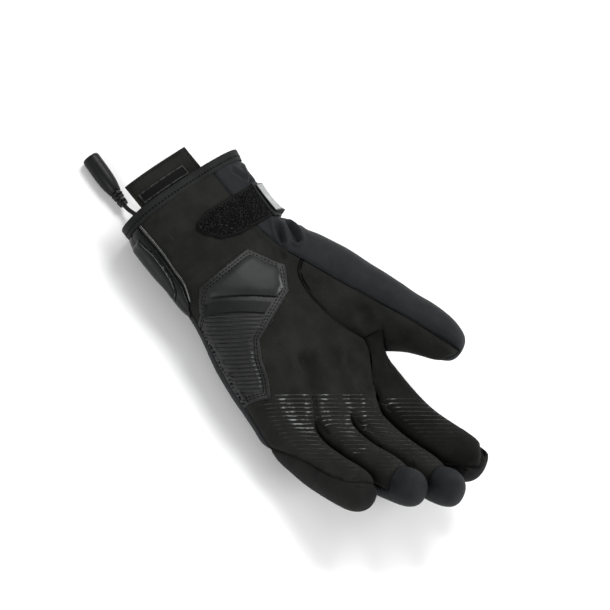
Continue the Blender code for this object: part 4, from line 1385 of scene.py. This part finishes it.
def makeShield():
    bm, border, edge = startSkin("side_shield", littleSide, shield["step"], forward, up)

    def liftAt(place):
        rise = 1 - math.exp(-edge.find(place)[2] / shield["edge"])
        return sewing["gap"] + shield["thickness"] * (0.5 + 0.5 * rise) + shield["bulge"] * rise

    laySkin(bm, gloveSkin, littleSide, liftAt)
    relax(bm, shield["relax"])
    piece = addPiece(bm, "side_shield_skin", "rubber", ["side_shield"])
    thicken(piece, shield["wall"], 0)
    return surfaceOf([piece])


def makeLeaf(skin):
    bm, border, edge = startSkin("side_shield_leaf", littleSide, leaf["step"], forward, up)

    def liftAt(place):
        far = edge.find(place)[2]
        rise = 1 - (1 - min(far / leaf["edge"], 1.0)) ** 2
        dome = 1 - math.exp(-far / leaf["dome"])
        return sewing["gap"] * rise + leaf["thickness"] * rise + leaf["bulge"] * dome

    laySkin(bm, skin, littleSide, liftAt)
    relax(bm, leaf["relax"])
    piece = addPiece(bm, "side_shield_leaf_skin", "rubber", ["side_shield_leaf"])
    thicken(piece, leaf["wall"], 0)
    return surfaceOf([piece]), border


def makeBead(skin, border):
    # a pale bead along the leaf's outline: a painted highlight on its edge
    line = insetLine(border, bead["inset"], skin, littleSide, bead["pitch"])
    line = [found[0] - found[1] * bead["sunk"] for found in line if found is not None]
    for turn in range(bead["smoothing"]):
        line = [(a + b * 2 + c) / 4 for a, b, c in zip(line[-1:] + line[:-1], line, line[1:] + line[:1])]
    addTube("side_shield_bead", [smoothLine(line, 2)], bead["width"] / 2, "bead")


makeBead(*makeLeaf(makeShield()))
makeSoftCopy("shield_piping", "shield_piping_cord", "piping", 2, 0.5)


print("lead and connector")
lead = {
    "diameter": 0.0028,
    "gap": 0.0003,
    "route": [
        # from the sleeve: across, along, height, as the solid lies
        (0.0230, 0.0180, 0.0132),
        (0.0231, 0.0120, 0.0132),
        (0.0232, 0.0060, 0.0131),
        (0.0234, 0.0000, 0.0131),
        (0.0235, -0.0060, 0.0130),
        (0.0236, -0.0110, 0.0123),
        (0.0236, -0.0155, 0.0104),
        (0.0235, -0.0195, 0.0081),
        (0.0234, -0.0230, 0.0064),
        (0.0232, -0.0259, 0.0058),
    ],
}


def makeLead():
    points = [Vector((hand["middleX"] + x, hand["startY"] + y, z)) for x, y, z in lead["route"]]
    line = smoothLine(points, 2)
    length = sum((b - a).length for a, b in zip(line, line[1:]))
    curve = newCurve("lead", lead["diameter"] / 2, 4, capped=True)
    addSpline(curve, line).use_smooth = True
    curve.materials.append(materials["sheath"])
    piece = addToScene("lead_sheath", curve)
    dress(piece, ["power_cord"])
    return piece, line, length


leadPiece, leadLine, leadLength = makeLead()
connector = {
    "length": 0.0377,
    "radius": 0.0057,
    "turn": 4.0,
    "boreRadius": 0.0019,
    "boreDepth": 0.0100,
    "profile": [
        # along, radius, in shares
        (0.000, 0.34), (0.000, 0.46), (0.008, 0.51), (0.036, 0.52), (0.043, 0.48), (0.045, 0.36),
        (0.065, 0.36), (0.067, 0.52), (0.074, 0.56), (0.100, 0.57), (0.107, 0.54), (0.109, 0.39),
        (0.129, 0.39), (0.131, 0.57), (0.138, 0.61), (0.164, 0.62), (0.171, 0.59), (0.173, 0.42),
        (0.193, 0.42), (0.195, 0.62), (0.202, 0.66), (0.228, 0.67), (0.235, 0.64), (0.237, 0.46),
        (0.257, 0.46), (0.259, 0.67), (0.268, 0.71), (0.330, 0.79), (0.400, 0.89), (0.480, 0.95),
        (0.560, 0.985), (0.640, 1.00), (0.800, 1.00), (0.940, 0.99), (0.975, 0.965), (0.993, 0.91),
        (1.000, 0.84),
    ],
    "grooves": (0.055, 0.119, 0.183, 0.247),
    "bar": (0.20, 0.030, 0.40),
    "mouthRim": 0.0003,
    "steps": 48,
    "smoothBelow": 40,
}


def makeConnector():
    end = leadLine[-1] - Vector((0, lead["gap"], 0))
    radius, length = connector["radius"], connector["length"]
    bm = bmesh.new()
    profile = [(0.0, 0.0)] + [(r * radius, y * length) for y, r in connector["profile"]]
    bore, rim = connector["boreRadius"], connector["mouthRim"]
    bottom = length - connector["boreDepth"]
    profile += [(bore + rim, length), (bore, length - rim), (bore, bottom), (0.0, bottom)]
    verts = [bm.verts.new((end.x + r, end.y - y, end.z)) for r, y in profile]
    edges = [bm.edges.new(pair) for pair in zip(verts, verts[1:])]
    bmesh.ops.spin(bm, geom=verts + edges, cent=end, axis=(0, 1, 0), angle=2 * math.pi,
                   steps=connector["steps"], use_merge=True)
    bmesh.ops.remove_doubles(bm, verts=bm.verts, dist=0.00001)
    bmesh.ops.recalc_face_normals(bm, faces=bm.faces)
    # small bars that join the rings of the strain relief
    for row, mark in enumerate(connector["grooves"]):
        for k in range(2):
            angle = math.pi * k + math.pi / 2 * row
            out = radius * (0.40 + 0.5 * mark)
            place = end + Vector((math.cos(angle) * out, -mark * length, math.sin(angle) * out))
            grown = bmesh.ops.create_cube(bm, size=1.0)["verts"]
            wide, long, deep = connector["bar"]
            bmesh.ops.scale(bm, verts=grown, vec=(radius * wide, length * long, radius * deep))
            bmesh.ops.rotate(bm, verts=grown, matrix=Matrix.Rotation(-angle, 3, "Y"))
            bmesh.ops.translate(bm, verts=grown, vec=place)
    bmesh.ops.rotate(bm, verts=bm.verts, cent=end,
                     matrix=Matrix.Rotation(-math.radians(connector["turn"]), 3, "Z"))
    piece = addPiece(bm, "connector_body", "plastic", ["connector"])
    piece.data.set_sharp_from_angle(angle=math.radians(connector["smoothBelow"]))
    return piece


connectorPiece = makeConnector()
frame["nodes"]["cord_gland"].data.materials.clear()
frame["nodes"]["cord_gland"].data.materials.append(materials["plastic"])
